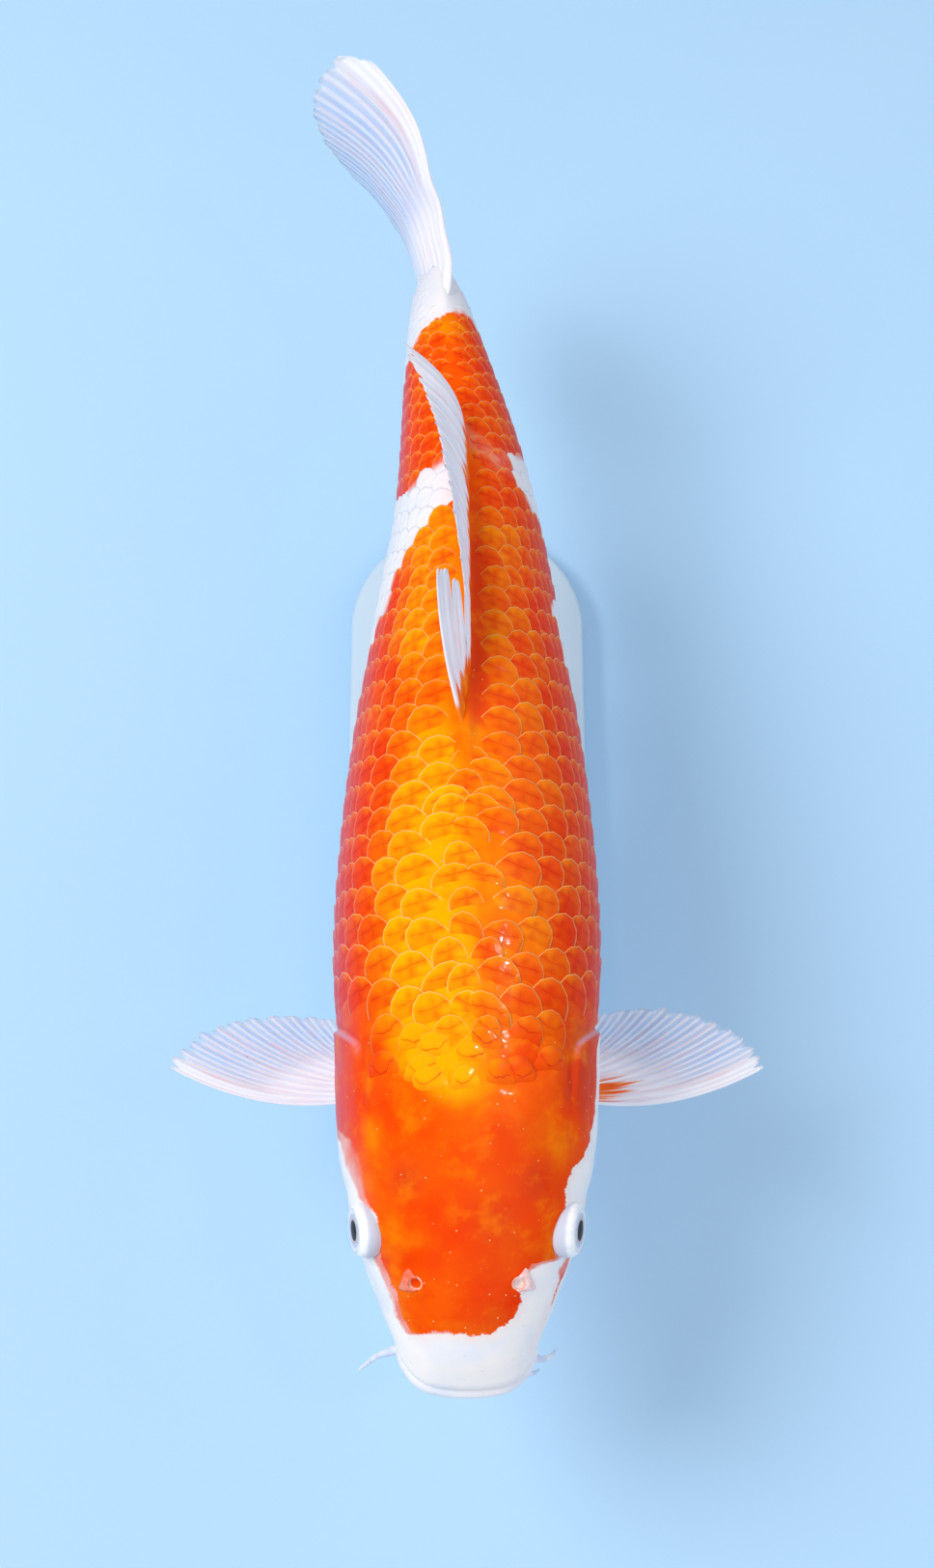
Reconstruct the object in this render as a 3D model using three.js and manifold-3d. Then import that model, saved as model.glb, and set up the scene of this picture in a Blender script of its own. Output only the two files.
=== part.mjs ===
// A koi carp, life size, as a still display model on a plain stand.
//
// Fish coordinates, in millimetres: x to the fish's left, t along the body from the tip of the snout to the
// tail, z up from the body's axis. The exported group moves them so that the origin is the middle of the
// stand's underside, +Y runs from the snout to the tail and +Z is up.
import * as THREE from "three";
import { mergeVertices } from "three/addons/utils/BufferGeometryUtils.js";
import Module from "manifold-3d";

const wasm = await Module();
wasm.setup();

// ---------------------------------------------------------------------------------------------------------
// Driving dimensions
// ---------------------------------------------------------------------------------------------------------

const STAND_T = 222; // where along the fish the middle of the stand is
const AXIS_HEIGHT = 128; // the body's axis above the floor
const GAP = 0.3; // between pieces that meet
const UP = new THREE.Vector3(0, 0, 1);

const BODY_END = 405; // where the flesh of the tail stem ends
const TAIL_BEND_START = 290;
const TAIL_BEND_END = 420;
const TAIL_BEND = -12; // how far the tail stem swings to the right-hand side

// Each line of the body holds [t, value] pairs, only as many as its shape needs.
const HALF_WIDTH = [
  [0, 0], [1.7, 12], [10, 20.6], [22, 25.8], [51, 36.5], [64, 39.5], [76, 41.7], [107, 43.5], [150, 44.7],
  [200, 41.2], [250, 34.4], [300, 26.4], [345, 19.6], [376, 13.8], [390, 10.8], [BODY_END, 6.5],
];
const RIDGE = [
  [0, -11], [1.7, -5], [10, 6], [28, 19.5], [51, 31.5], [90, 44.5], [126, 51], [175, 54],
  [225, 51], [300, 36], [345, 26], [376, 22.5], [BODY_END, 24],
];
const KEEL = [
  [0, -11], [1.7, -17], [10, -24.5], [28, -33], [76, -44.5], [126, -51], [175, -53],
  [225, -48.5], [300, -33], [345, -24], [376, -21.5], [BODY_END, -23],
];
const WIDEST = [[0, -11], [28, -9], [76, -3.5], [200, 1], [BODY_END, 0.5]];
const FULLNESS = [[0, 2], [28, 2.25], [76, 2.35], [150, 2.2], [300, 2.05], [BODY_END, 2]];

const EYE = { x: 30.9, t: 49.4, z: 12.4, radius: 8.7, depth: 6.6, lift: 25, forward: 8 };
// Fins. Each base runs between two places along the body, and sinks a little into it.
const DORSAL = {
  from: 199, to: 321, sink: 3,
  frontLength: 54, middleLength: 30, rearLength: 25,
  frontSweep: 37, rearSweep: 44,
  frontLean: -5.5, notchLean: 2, rearLean: -17.5, bulge: 1.4,
};
const ANAL = {
  from: 291, to: 321, sink: 3,
  frontLength: 43, rearLength: 23,
  frontSweep: 44, rearSweep: 50, lean: 2.5,
};
const PECTORAL = {
  rootX: 34, frontT: 98.5, rearT: 111, frontZ: -33, rearZ: -30,
  middleX: 62, middleT: 107.5, tipZ: -27, reachX: 38.7, leftReachT: 21, rightReachT: 18.5, lastAngle: 122,
};
const PELVIC = {
  frontRoot: [15, 194, -45], rearRoot: [8, 206, -45],
  frontTip: [33, 226, -64], rearTip: [9, 232, -60], edgeBulge: 8,
};
const TAIL_FIN = { rootX: -9, rootT: 383, rootHalf: 20, fork: 51, lobe: 28, spread: 34, lobesMeet: 0.12 };
const FIN_EDGE = 0.8; // thickness at the edge of every fin

// The feelers at the corners of the mouth, each as [x, t, z] points from its root to its tip.
const BARBELS = {
  long_left: [[16.5, 14, -12], [20.5, 12.3, -14], [24, 11.6, -16], [27, 12.7, -18.5], [28.8, 14.9, -20]],
  long_right: [[-18, 16, -12], [-24.3, 14, -15], [-28.5, 12.9, -18.5], [-32, 10.8, -22], [-35.2, 8.6, -25]],
  short_left: [[14, 8, -9.5], [19.3, 7, -12.5], [22, 7.6, -17], [23.4, 8.9, -21.5]],
  short_right: [[-13.5, 7.5, -9], [-18.4, 6.4, -12.5], [-19.8, 7, -16.5], [-19.2, 8.6, -20.5]],
};
const BARBEL_RADII = { long: [2, 0.4], short: [1.2, 0.35] };

const GILL_COVER = { innerX: 30, outerX: 54, thickness: 5 };
const CUTS = { headEnd: 119, shoulderEnd: 199, tailStemStart: 322 }; // where the body is parted along t
// The planes that part the mouth, each as a point and a normal in [x, t, z].
const MOUTH_LINE = { point: [0, 2, -14.5], normal: [0, 0.34, 1] };
const JAW_END = { point: [0, 25, -24], normal: [0, 1, -0.25] };
const LIP_END = { point: [0, 6.2, 0], normal: [0, 1, 0.52] };

const ROD_PLACES = [
  { name: "front", t: 150 },
  { name: "rear", t: 272 },
];
const BASE = { width: 96, length: 270, thickness: 12, bevel: 2 };
const ROD = { radius: 4, flareRadius: 9, flareHeight: 9, reach: 3 };

// ---------------------------------------------------------------------------------------------------------
// Curves of the body
// ---------------------------------------------------------------------------------------------------------

const radians = THREE.MathUtils.degToRad;
const mix = THREE.MathUtils.lerp;
const bow = (r) => 4 * r * (1 - r); // 0 at both ends of a ray and 1 at its middle
const bell = (s, middle, width) => Math.exp(-(((s - middle) / width) ** 2));

// A smooth curve through [t, value] pairs. It runs over the square root of t, which keeps the snout blunt.
function profile(pairs) {
  const at = Float32Array.from(pairs, (pair) => Math.sqrt(pair[0]));
  const value = Float32Array.from(pairs, (pair) => pair[1]);
  const curve = new THREE.CubicInterpolant(at, value, 1, new Float32Array(1));
  return (t) => curve.evaluate(Math.sqrt(THREE.MathUtils.clamp(t, 0, BODY_END)))[0];
}

const halfWidth = profile(HALF_WIDTH);
const ridge = profile(RIDGE);
const keel = profile(KEEL);
const widest = profile(WIDEST);
const fullness = profile(FULLNESS);
const spineX = (t) => TAIL_BEND * THREE.MathUtils.smoothstep(t, TAIL_BEND_START, TAIL_BEND_END);

// The body's surface. Angle 0 is the ridge of the back, a quarter turn the left side, half a turn the keel.
function bodyPoint(t, angle, swell = 0) {
  const power = 2 / fullness(t);
  const sine = Math.sin(angle);
  const cosine = Math.cos(angle);
  const middle = widest(t);
  const height = (cosine > 0 ? ridge(t) - middle : middle - keel(t)) + swell;
  return new THREE.Vector3(
    spineX(t) + Math.sign(sine) * (halfWidth(t) + swell) * Math.abs(sine) ** power,
    t,
    middle + Math.sign(cosine) * height * Math.abs(cosine) ** power,
  );
}

// ---------------------------------------------------------------------------------------------------------
// Making closed meshes
// ---------------------------------------------------------------------------------------------------------

function solid(geometry) {
  const bare = geometry.clone();
  bare.deleteAttribute("normal");
  bare.deleteAttribute("uv");
  const merged = mergeVertices(bare, 1e-4);
  return new wasm.Manifold(
    new wasm.Mesh({
      numProp: 3,
      vertProperties: new Float32Array(merged.attributes.position.array),
      triVerts: new Uint32Array(merged.index.array),
    }),
  );
}

function geometryOf(shape) {
  const mesh = shape.getMesh();
  const geometry = new THREE.BufferGeometry();
  geometry.setAttribute("position", new THREE.BufferAttribute(mesh.vertProperties, 3));
  geometry.setIndex(new THREE.BufferAttribute(mesh.triVerts, 1));
  geometry.computeVertexNormals();
  return geometry;
}

// The solid that these triangles close, turned so that its faces point out.
function closed(points, triangles) {
  const geometry = new THREE.BufferGeometry().setFromPoints(points);
  geometry.setIndex(triangles);
  const shape = solid(geometry);
  if (shape.volume() > 0) return shape;
  geometry.setIndex(triangles.reverse());
  return solid(geometry);
}

// Closed rings of equal length, joined one to the next, with both ends closed on a middle point.
function loft(rings) {
  const size = rings[0].length;
  const points = rings.flat();
  const triangles = [];
  for (let i = 0; i + 1 < rings.length; i++) {
    for (let j = 0; j < size; j++) {
      const k = (j + 1) % size;
      const [a, b, c, d] = [i * size + j, i * size + k, (i + 1) * size + j, (i + 1) * size + k];
      triangles.push(a, c, b, b, c, d);
    }
  }
  [0, rings.length - 1].forEach((i) => {
    const middle = rings[i].reduce((sum, point) => sum.add(point), new THREE.Vector3()).divideScalar(size);
    points.push(middle);
    for (let j = 0; j < size; j++) {
      const k = (j + 1) % size;
      if (i === 0) triangles.push(points.length - 1, i * size + j, i * size + k);
      else triangles.push(points.length - 1, i * size + k, i * size + j);
    }
  });
  return closed(points, triangles);
}

// A thin curved sheet with thickness: place(across, along) gives its middle surface, both from 0 to 1.
function sheet(across, along, place, thickness) {
  const row = along + 1;
  const count = (across + 1) * row;
  const middle = [];
  for (let i = 0; i <= across; i++)
    for (let j = 0; j <= along; j++) middle.push(place(i / across, j / along));
  const at = (i, j) =>
    middle[THREE.MathUtils.clamp(i, 0, across) * row + THREE.MathUtils.clamp(j, 0, along)];
  const faces = [[], []];
  for (let i = 0; i <= across; i++) {
    for (let j = 0; j <= along; j++) {
      const u = at(i + 1, j).clone().sub(at(i - 1, j));
      const v = at(i, j + 1).clone().sub(at(i, j - 1));
      const normal = u.cross(v).normalize().multiplyScalar(thickness(i / across, j / along) / 2);
      faces[0].push(at(i, j).clone().add(normal));
      faces[1].push(at(i, j).clone().sub(normal));
    }
  }
  const triangles = [];
  for (let i = 0; i < across; i++) {
    for (let j = 0; j < along; j++) {
      const [a, b, c, d] = [i * row + j, (i + 1) * row + j, (i + 1) * row + j + 1, i * row + j + 1];
      triangles.push(a, b, c, a, c, d);
      triangles.push(count + a, count + c, count + b, count + a, count + d, count + c);
    }
  }
  const rim = [];
  for (let i = 0; i < across; i++) rim.push(i * row);
  for (let j = 0; j < along; j++) rim.push(across * row + j);
  for (let i = across; i > 0; i--) rim.push(i * row + along);
  for (let j = along; j > 0; j--) rim.push(j);
  rim.forEach((a, n) => {
    const b = rim[(n + 1) % rim.length];
    triangles.push(a, count + b, b, a, count + a, count + b);
  });
  return closed(faces.flat(), triangles);
}

// A round strand that thins from its root to its tip, along a curve through the points.
function strand(points, rootRadius, tipRadius, steps = 8, sides = 7) {
  const curve = new THREE.CatmullRomCurve3(points.map((point) => new THREE.Vector3(...point)));
  const frames = curve.computeFrenetFrames(steps, false);
  const rings = [];
  for (let i = 0; i <= steps; i++) {
    const centre = curve.getPointAt(i / steps);
    const radius = THREE.MathUtils.lerp(rootRadius, tipRadius, i / steps);
    rings.push(
      Array.from({ length: sides }, (_, j) => {
        const angle = (2 * Math.PI * j) / sides;
        return centre
          .clone()
          .addScaledVector(frames.normals[i], radius * Math.cos(angle))
          .addScaledVector(frames.binormals[i], radius * Math.sin(angle));
      }),
    );
  }
  return loft(rings);
}

// Everything on the side of a plane that its normal points to, as a large block.
function block(point, normal) {
  const side = 900; // larger than the whole fish
  const geometry = new THREE.BoxGeometry(side, side, side);
  geometry.translate(0, 0, side / 2);
  geometry.applyQuaternion(new THREE.Quaternion().setFromUnitVectors(UP, normal));
  geometry.translate(...point.toArray());
  return solid(geometry);
}

// Cuts a shape in two along a plane, with a thin gap: [the side the normal points to, the other side].
function part(shape, plane) {
  const point = new THREE.Vector3(...plane.point);
  const unit = new THREE.Vector3(...plane.normal).normalize();
  const beyond = block(point.clone().addScaledVector(unit, GAP / 2), unit);
  const beyondAndGap = block(point.clone().addScaledVector(unit, -GAP / 2), unit);
  return [shape.intersect(beyond), shape.subtract(beyondAndGap)];
}

const largest = (shape) => shape.decompose().sort((a, b) => b.volume() - a.volume())[0];

// ---------------------------------------------------------------------------------------------------------
// The body, whole, and then parted
// ---------------------------------------------------------------------------------------------------------

function wholeBody(swell = 0, sides = 28) {
  const stations = [0.4, 1.5, 3.2, 5.8, 9.5, 14.5, 21, 29, 38];
  for (let t = 48; t < 375; t += 15) stations.push(t);
  stations.push(382, 390, 398, BODY_END);
  const rings = stations.map((t) =>
    Array.from({ length: sides }, (_, j) => bodyPoint(t, (2 * Math.PI * j) / sides, swell)),
  );
  return loft(rings);
}

const across = (t) => ({ point: [0, t, 0], normal: [0, 1, 0] });

// The gill cover's outline seen from the side, as [t, z].
function gillCoverOutline() {
  const outline = new THREE.Shape();
  outline.moveTo(75, 25.5);
  outline.bezierCurveTo(85, 30.5, 102, 33, 107, 28);
  outline.bezierCurveTo(114, 20, 119, -2, 111, -18);
  outline.bezierCurveTo(105, -29, 92, -37, 78, -39);
  outline.bezierCurveTo(67, -36, 62, -20, 64, -6);
  outline.bezierCurveTo(65, 8, 68, 19, 75, 25.5);
  return outline;
}

// The gill cover's outline pushed through one side of the head, which is 1 for the left, -1 for the right.
function gillCoverCutter(side, grow) {
  const geometry = new THREE.ExtrudeGeometry(gillCoverOutline(), {
    depth: GILL_COVER.outerX - GILL_COVER.innerX,
    steps: 1,
    curveSegments: 4,
    bevelEnabled: grow > 0,
    bevelThickness: 0.01,
    bevelSize: grow,
    bevelSegments: 1,
  });
  // The outline's own x runs along the body and its own y up, so its depth becomes the fish's x.
  const turn = new THREE.Matrix4().makeBasis(
    new THREE.Vector3(0, 1, 0),
    new THREE.Vector3(0, 0, 1),
    new THREE.Vector3(1, 0, 0),
  );
  geometry.applyMatrix4(turn);
  geometry.translate(side > 0 ? GILL_COVER.innerX : -GILL_COVER.outerX, 0, 0);
  return solid(geometry);
}

function eyeDirection(side) {
  const lift = radians(EYE.lift);
  const forward = radians(EYE.forward);
  return new THREE.Vector3(side * Math.cos(lift) * Math.cos(forward), -Math.sin(forward), Math.sin(lift));
}

function eyeball(side, grow = 0) {
  const geometry = new THREE.SphereGeometry(1, 16, 9);
  geometry.scale(EYE.radius + grow, EYE.radius + grow, EYE.depth + grow);
  geometry.applyQuaternion(
    new THREE.Quaternion().setFromUnitVectors(UP, eyeDirection(side)),
  );
  geometry.translate(side * EYE.x, EYE.t, EYE.z);
  return solid(geometry);
}

// ---------------------------------------------------------------------------------------------------------
// Fins: each gives a place for (across, along), from the first ray to the last and from root to edge
// ---------------------------------------------------------------------------------------------------------

// The first rays stand up as a spike that leans over, behind a notch; the rest slope down to the rear.
const dorsalSpike = DORSAL.frontLength - DORSAL.middleLength;
const dorsalLength = (s) => mix(DORSAL.middleLength, DORSAL.rearLength, s) + dorsalSpike * bell(s, 0, 0.11);
const dorsalSweep = (s) => radians(mix(DORSAL.frontSweep, DORSAL.rearSweep, s));
const dorsalLean = (s) =>
  DORSAL.notchLean * bell(s, 0.14, 0.08) + DORSAL.frontLean * bell(s, 0, 0.06) + DORSAL.rearLean * s ** 1.7;

function dorsalPlace(s, r) {
  const root = mix(DORSAL.from, DORSAL.to, s);
  const length = dorsalLength(s) * r;
  const angle = dorsalSweep(s);
  const sink = DORSAL.sink * (1 - r);
  return new THREE.Vector3(
    spineX(root) + dorsalLean(s) * r * r + DORSAL.bulge * bow(r),
    root + length * Math.cos(angle),
    ridge(root) - sink + length * Math.sin(angle) * (1 + 0.1 * bow(r)),
  );
}

function analPlace(s, r) {
  const root = mix(ANAL.from, ANAL.to, s);
  const length = mix(ANAL.frontLength, ANAL.rearLength, s ** 0.8) * r;
  const angle = radians(mix(ANAL.frontSweep, ANAL.rearSweep, s));
  return new THREE.Vector3(
    spineX(root) + ANAL.lean * r * r,
    root + length * Math.cos(angle),
    keel(root) + ANAL.sink * (1 - r) - length * Math.sin(angle),
  );
}

// Pectoral fin: a fan whose rays end on part of an ellipse.
function pectoralPlace(side) {
  const reachT = side > 0 ? PECTORAL.leftReachT : PECTORAL.rightReachT;
  return (s, r) => {
    const end = radians(PECTORAL.lastAngle * s);
    const tip = new THREE.Vector3(
      PECTORAL.middleX + PECTORAL.reachX * Math.cos(end),
      PECTORAL.middleT + reachT * Math.sin(end),
      PECTORAL.tipZ,
    );
    const root = new THREE.Vector3(
      PECTORAL.rootX,
      mix(PECTORAL.frontT, PECTORAL.rearT, s),
      mix(PECTORAL.frontZ, PECTORAL.rearZ, s),
    );
    const bend = root.clone().lerp(tip, 0.5);
    bend.y -= mix(13.5, 3, s);
    bend.z += mix(1, -4, s);
    const point = new THREE.QuadraticBezierCurve3(root, bend, tip).getPoint(r);
    point.x *= side;
    return point;
  };
}

function pelvicPlace(side) {
  const [frontRoot, rearRoot, frontTip, rearTip] = [
    PELVIC.frontRoot, PELVIC.rearRoot, PELVIC.frontTip, PELVIC.rearTip,
  ].map((point) => new THREE.Vector3(...point));
  return (s, r) => {
    const root = frontRoot.clone().lerp(rearRoot, s);
    const tip = frontTip.clone().lerp(rearTip, s);
    tip.y += PELVIC.edgeBulge * bow(s);
    const bend = root.clone().lerp(tip, 0.5);
    bend.x += 3;
    const point = new THREE.QuadraticBezierCurve3(root, bend, tip).getPoint(r);
    point.x *= side;
    return point;
  };
}

// Tail fin: a runs from 1 at the upper edge to -1 at the lower one, and the fork is near 0.
const tailLength = (a) =>
  TAIL_FIN.fork + TAIL_FIN.lobe * (Math.abs(a) ** 1.2 + 0.14 * bell(Math.abs(a), 0.85, 0.15));
const tailSpread = (a) => (TAIL_FIN.spread * Math.tanh(2 * a)) / Math.tanh(2);
// Where each ray ends sideways: the upper lobe sweeps to the right side, the lower one trails straighter.
const TAIL_SWING = new THREE.CubicInterpolant(
  Float32Array.from([-1, -0.5, -0.2, 0, 0.15, 0.32, 0.5, 0.7, 0.85, 1]),
  Float32Array.from([-16, -21, -25, -33, -42.5, -50, -55, -55.5, -49.5, -34]),
  1,
  new Float32Array(1),
);

function tailPlace(a, r) {
  const angle = radians(tailSpread(a));
  const length = tailLength(a) * r;
  const swing = TAIL_SWING.evaluate(a)[0] - TAIL_FIN.rootX;
  const lag = mix(-1.5, 1.1, Math.max(a, 0));
  return new THREE.Vector3(
    TAIL_FIN.rootX + swing * r ** (2 + 0.6 * Math.abs(a)) + lag * bow(r),
    TAIL_FIN.rootT + length * Math.cos(angle),
    0.7 + TAIL_FIN.rootHalf * a + length * Math.sin(angle) * (1 + 0.12 * bow(r)),
  );
}

const finThickness = (root) => (s, r) => mix(root, FIN_EDGE, Math.sqrt(r));

// ---------------------------------------------------------------------------------------------------------
// The pieces
// ---------------------------------------------------------------------------------------------------------

const pieces = {};

function makeFlesh() {
  let flesh = wholeBody();
  flesh = flesh.subtract(eyeball(1, GAP)).subtract(eyeball(-1, GAP));
  const [behindHead, front] = part(flesh, across(CUTS.headEnd));
  const [behindShoulder, shoulder] = part(behindHead, across(CUTS.shoulderEnd));
  const [tailStem, middle] = part(behindShoulder, across(CUTS.tailStemStart));
  pieces.trunk_front = shoulder;
  pieces.trunk_rear = middle;
  pieces.tail_stem = tailStem;

  const core = wholeBody(-GILL_COVER.thickness);
  const smallerCore = wholeBody(-GILL_COVER.thickness - GAP);
  let head = front;
  for (const [name, side] of [["gill_cover_left", 1], ["gill_cover_right", -1]]) {
    pieces[name] = largest(front.intersect(gillCoverCutter(side, 0)).subtract(core));
    head = head.subtract(gillCoverCutter(side, GAP).subtract(smallerCore));
  }
  head = largest(head);

  // The lower jaw lies under the mouth's line and ahead of the throat; the upper lip is the rim in front.
  const [upper, lower] = part(head, MOUTH_LINE);
  const [throat, jaw] = part(lower, JAW_END);
  pieces.lower_jaw = largest(jaw);
  const [skull, lip] = part(upper, LIP_END);
  pieces.upper_lip = largest(lip);
  pieces.head = largest(skull);
  pieces.throat = largest(throat);

  pieces.eye_left = eyeball(1);
  pieces.eye_right = eyeball(-1);
}

function makeFins(swollen) {
  const trim = (shape) => largest(shape.subtract(swollen));
  pieces.dorsal_fin = trim(sheet(20, 5, dorsalPlace, finThickness(2.6)));
  pieces.anal_fin = trim(sheet(7, 5, analPlace, finThickness(2.6)));
  for (const [name, side] of [["left", 1], ["right", -1]]) {
    pieces["pectoral_fin_" + name] = trim(sheet(13, 6, pectoralPlace(side), finThickness(4)));
    pieces["pelvic_fin_" + name] = trim(sheet(7, 5, pelvicPlace(side), finThickness(3)));
  }
  const upper = (s, r) => tailPlace(mix(1, TAIL_FIN.lobesMeet, s), r);
  const lower = (s, r) => {
    const point = tailPlace(mix(TAIL_FIN.lobesMeet, -1, s), r);
    point.z -= 2 * GAP;
    return point;
  };
  pieces.tail_fin_upper_lobe = trim(sheet(12, 8, upper, finThickness(6)));
  pieces.tail_fin_lower_lobe = trim(sheet(12, 8, lower, finThickness(6)));
}

function makeBarbels(swollen) {
  for (const [name, points] of Object.entries(BARBELS)) {
    const [root, tip] = BARBEL_RADII[name.split("_")[0]];
    pieces["barbel_" + name] = largest(strand(points, root, tip).subtract(swollen));
  }
}

function makeStand(swollen) {
  const outline = new THREE.Shape();
  const end = BASE.width / 2 - BASE.bevel;
  const straight = (BASE.length - BASE.width) / 2;
  outline.absarc(0, STAND_T + straight, end, 0, Math.PI, false);
  outline.absarc(0, STAND_T - straight, end, Math.PI, 2 * Math.PI, false);
  const base = new THREE.ExtrudeGeometry(outline, {
    depth: BASE.thickness - BASE.bevel,
    curveSegments: 12,
    bevelThickness: BASE.bevel,
    bevelSize: BASE.bevel,
    bevelSegments: 2,
  });
  // The bevel below is cut off, so that the base rests on a wide flat.
  base.translate(0, 0, -AXIS_HEIGHT);
  const floor = new THREE.Vector3(0, 0, -AXIS_HEIGHT);
  pieces.stand_base = solid(base).intersect(block(floor, UP));

  const foot = -AXIS_HEIGHT + BASE.thickness + GAP;
  for (const place of ROD_PLACES) {
    // The flared top reaches into the belly, and the belly cuts it to its own curve.
    const top = keel(place.t) + ROD.reach;
    const neck = top - ROD.flareHeight;
    const profilePoints = [
      [0, foot], [ROD.radius, foot], [ROD.radius, neck], [ROD.radius + 1, neck + 3],
      [ROD.flareRadius, neck + 5.5], [ROD.flareRadius, top], [0, top],
    ];
    const rod = new THREE.LatheGeometry(profilePoints.map(([r, z]) => new THREE.Vector2(r, z)), 20);
    rod.rotateX(Math.PI / 2);
    rod.translate(0, place.t, 0);
    pieces["stand_rod_" + place.name] = largest(solid(rod).subtract(swollen));
  }
}

const swollen = wholeBody(GAP);
makeFlesh();
makeFins(swollen);
makeBarbels(swollen);
makeStand(swollen);

// ---------------------------------------------------------------------------------------------------------
// The group
// ---------------------------------------------------------------------------------------------------------

const material = (color, roughness, metalness = 0) =>
  new THREE.MeshStandardMaterial({ color, roughness, metalness });
const ORANGE = material(0xff5b00, 0.25);
const WHITE = material(0xf6f3f2, 0.25);
const FIN = material(0xdfe5f2, 0.3);
const EYE_WHITE = material(0xf7f7fa, 0.15);
const BASE_PAINT = material(0xc9dbe8, 0.45);
const STEEL = material(0xb8bcc2, 0.3, 1);

function materialOf(name) {
  if (name.startsWith("stand_rod")) return STEEL;
  if (name.startsWith("stand_")) return BASE_PAINT;
  if (name.startsWith("eye_")) return EYE_WHITE;
  if (name.includes("fin")) return FIN;
  if (/lip|jaw|barbel|throat/.test(name)) return WHITE;
  return ORANGE;
}

const koi = new THREE.Group();
koi.position.set(0, -STAND_T, AXIS_HEIGHT);
for (const [name, shape] of Object.entries(pieces)) {
  const mesh = new THREE.Mesh(geometryOf(shape), materialOf(name));
  mesh.name = name;
  koi.add(mesh);
}

export default koi;
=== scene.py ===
"""A life-size koi on a plain display stand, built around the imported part.

Lengths in the functions are millimetres in the fish's own frame: x towards its left side, t from
the snout towards the tail, z up from the body's axis. place_in_row() turns them into the row frame.
"""

import math

import bmesh
import bpy
import numpy as np

from mathutils import Matrix, Vector


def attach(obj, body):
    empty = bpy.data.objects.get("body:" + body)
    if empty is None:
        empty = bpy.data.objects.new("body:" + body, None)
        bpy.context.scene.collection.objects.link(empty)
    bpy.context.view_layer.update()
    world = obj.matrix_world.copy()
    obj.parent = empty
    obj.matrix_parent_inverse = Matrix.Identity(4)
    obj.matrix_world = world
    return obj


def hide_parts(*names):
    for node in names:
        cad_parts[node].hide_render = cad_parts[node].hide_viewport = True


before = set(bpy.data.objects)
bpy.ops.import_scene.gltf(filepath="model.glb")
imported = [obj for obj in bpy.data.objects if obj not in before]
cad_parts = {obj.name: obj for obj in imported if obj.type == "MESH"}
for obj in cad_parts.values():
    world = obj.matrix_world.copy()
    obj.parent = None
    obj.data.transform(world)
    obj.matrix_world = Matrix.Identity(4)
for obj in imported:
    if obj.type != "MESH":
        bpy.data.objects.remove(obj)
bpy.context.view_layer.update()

# ---------------------------------------------------------------- the fish's measures, mm

STAND_T = 222.0
AXIS_HEIGHT = 128.0
BODY_END = 405.0
TAIL_BEND = (290.0, 420.0, -12.0)

HALF_WIDTH = (
    (0, 0), (1.7, 12), (10, 20.6), (22, 25.8), (51, 36.5), (64, 39.5), (76, 41.7), (107, 43.5),
    (150, 44.7), (200, 41.2), (250, 34.4), (300, 26.4), (345, 19.6), (376, 13.8), (390, 10.8), (405, 6.5),
)
RIDGE = (
    (0, -11), (1.7, -5), (10, 6), (28, 19.5), (51, 31.5), (90, 44.5), (126, 51), (175, 54),
    (225, 51), (300, 36), (345, 26), (376, 22.5), (405, 24),
)
KEEL = (
    (0, -11), (1.7, -17), (10, -24.5), (28, -33), (76, -44.5), (126, -51), (175, -53),
    (225, -48.5), (300, -33), (345, -24), (376, -21.5), (405, -23),
)
WIDEST = ((0, -11), (28, -9), (76, -3.5), (200, 1), (405, 0.5))
FULLNESS = ((0, 2), (28, 2.25), (76, 2.35), (150, 2.2), (300, 2.05), (405, 2))


def curve_through(points):
    """The smooth curve of the part's own source, over the square root of the way along the body."""
    places = np.sqrt(np.array([p[0] for p in points], float))
    values = np.array([p[1] for p in points], float)
    last = len(points) - 1

    def at(t):
        x = np.clip(np.sqrt(np.maximum(np.asarray(t, float), 0.0)), places[0], places[-1])
        high = np.clip(np.searchsorted(places, x, side="right"), 1, last)
        low = high - 1
        before = np.where(low > 0, low - 1, high)
        after = np.where(high < last, high + 1, low)
        start, stop = places[low], places[high]
        half = (stop - start) / 2
        w_before = half / (start - np.where(low > 0, places[before], stop))
        w_after = half / (np.where(high < last, places[after], start) - stop)
        p = (x - start) / (stop - start)
        k_before = -w_before * p**3 + 2 * w_before * p**2 - w_before * p
        k_low = (1 + w_before) * p**3 + (-1.5 - 2 * w_before) * p**2 + (-0.5 + w_before) * p + 1
        k_high = (-1 - w_after) * p**3 + (1.5 + w_after) * p**2 + 0.5 * p
        k_after = w_after * p**3 - w_after * p**2
        near = k_low * values[low] + k_high * values[high]
        return near + k_before * values[before] + k_after * values[after]

    return at


half_width = curve_through(HALF_WIDTH)
ridge = curve_through(RIDGE)
keel = curve_through(KEEL)
widest = curve_through(WIDEST)
fullness = curve_through(FULLNESS)


def smooth(value, start, stop):
    """0 before start, 1 after stop, with a soft turn at both."""
    k = np.clip((value - start) / (stop - start), 0, 1)
    return k * k * (3 - 2 * k)


def bell(value, middle, width):
    return np.exp(-(((value - middle) / width) ** 2))


def mix(a, b, share):
    return a + (b - a) * share


def fall(value, start, stop):
    """1 before start, 0 after stop, with a soft turn at both."""
    return 1 - smooth(value, start, stop)


def bow(share):
    return 4 * share * (1 - share)


def spine(t):
    return TAIL_BEND[2] * smooth(t, TAIL_BEND[0], TAIL_BEND[1])


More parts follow.
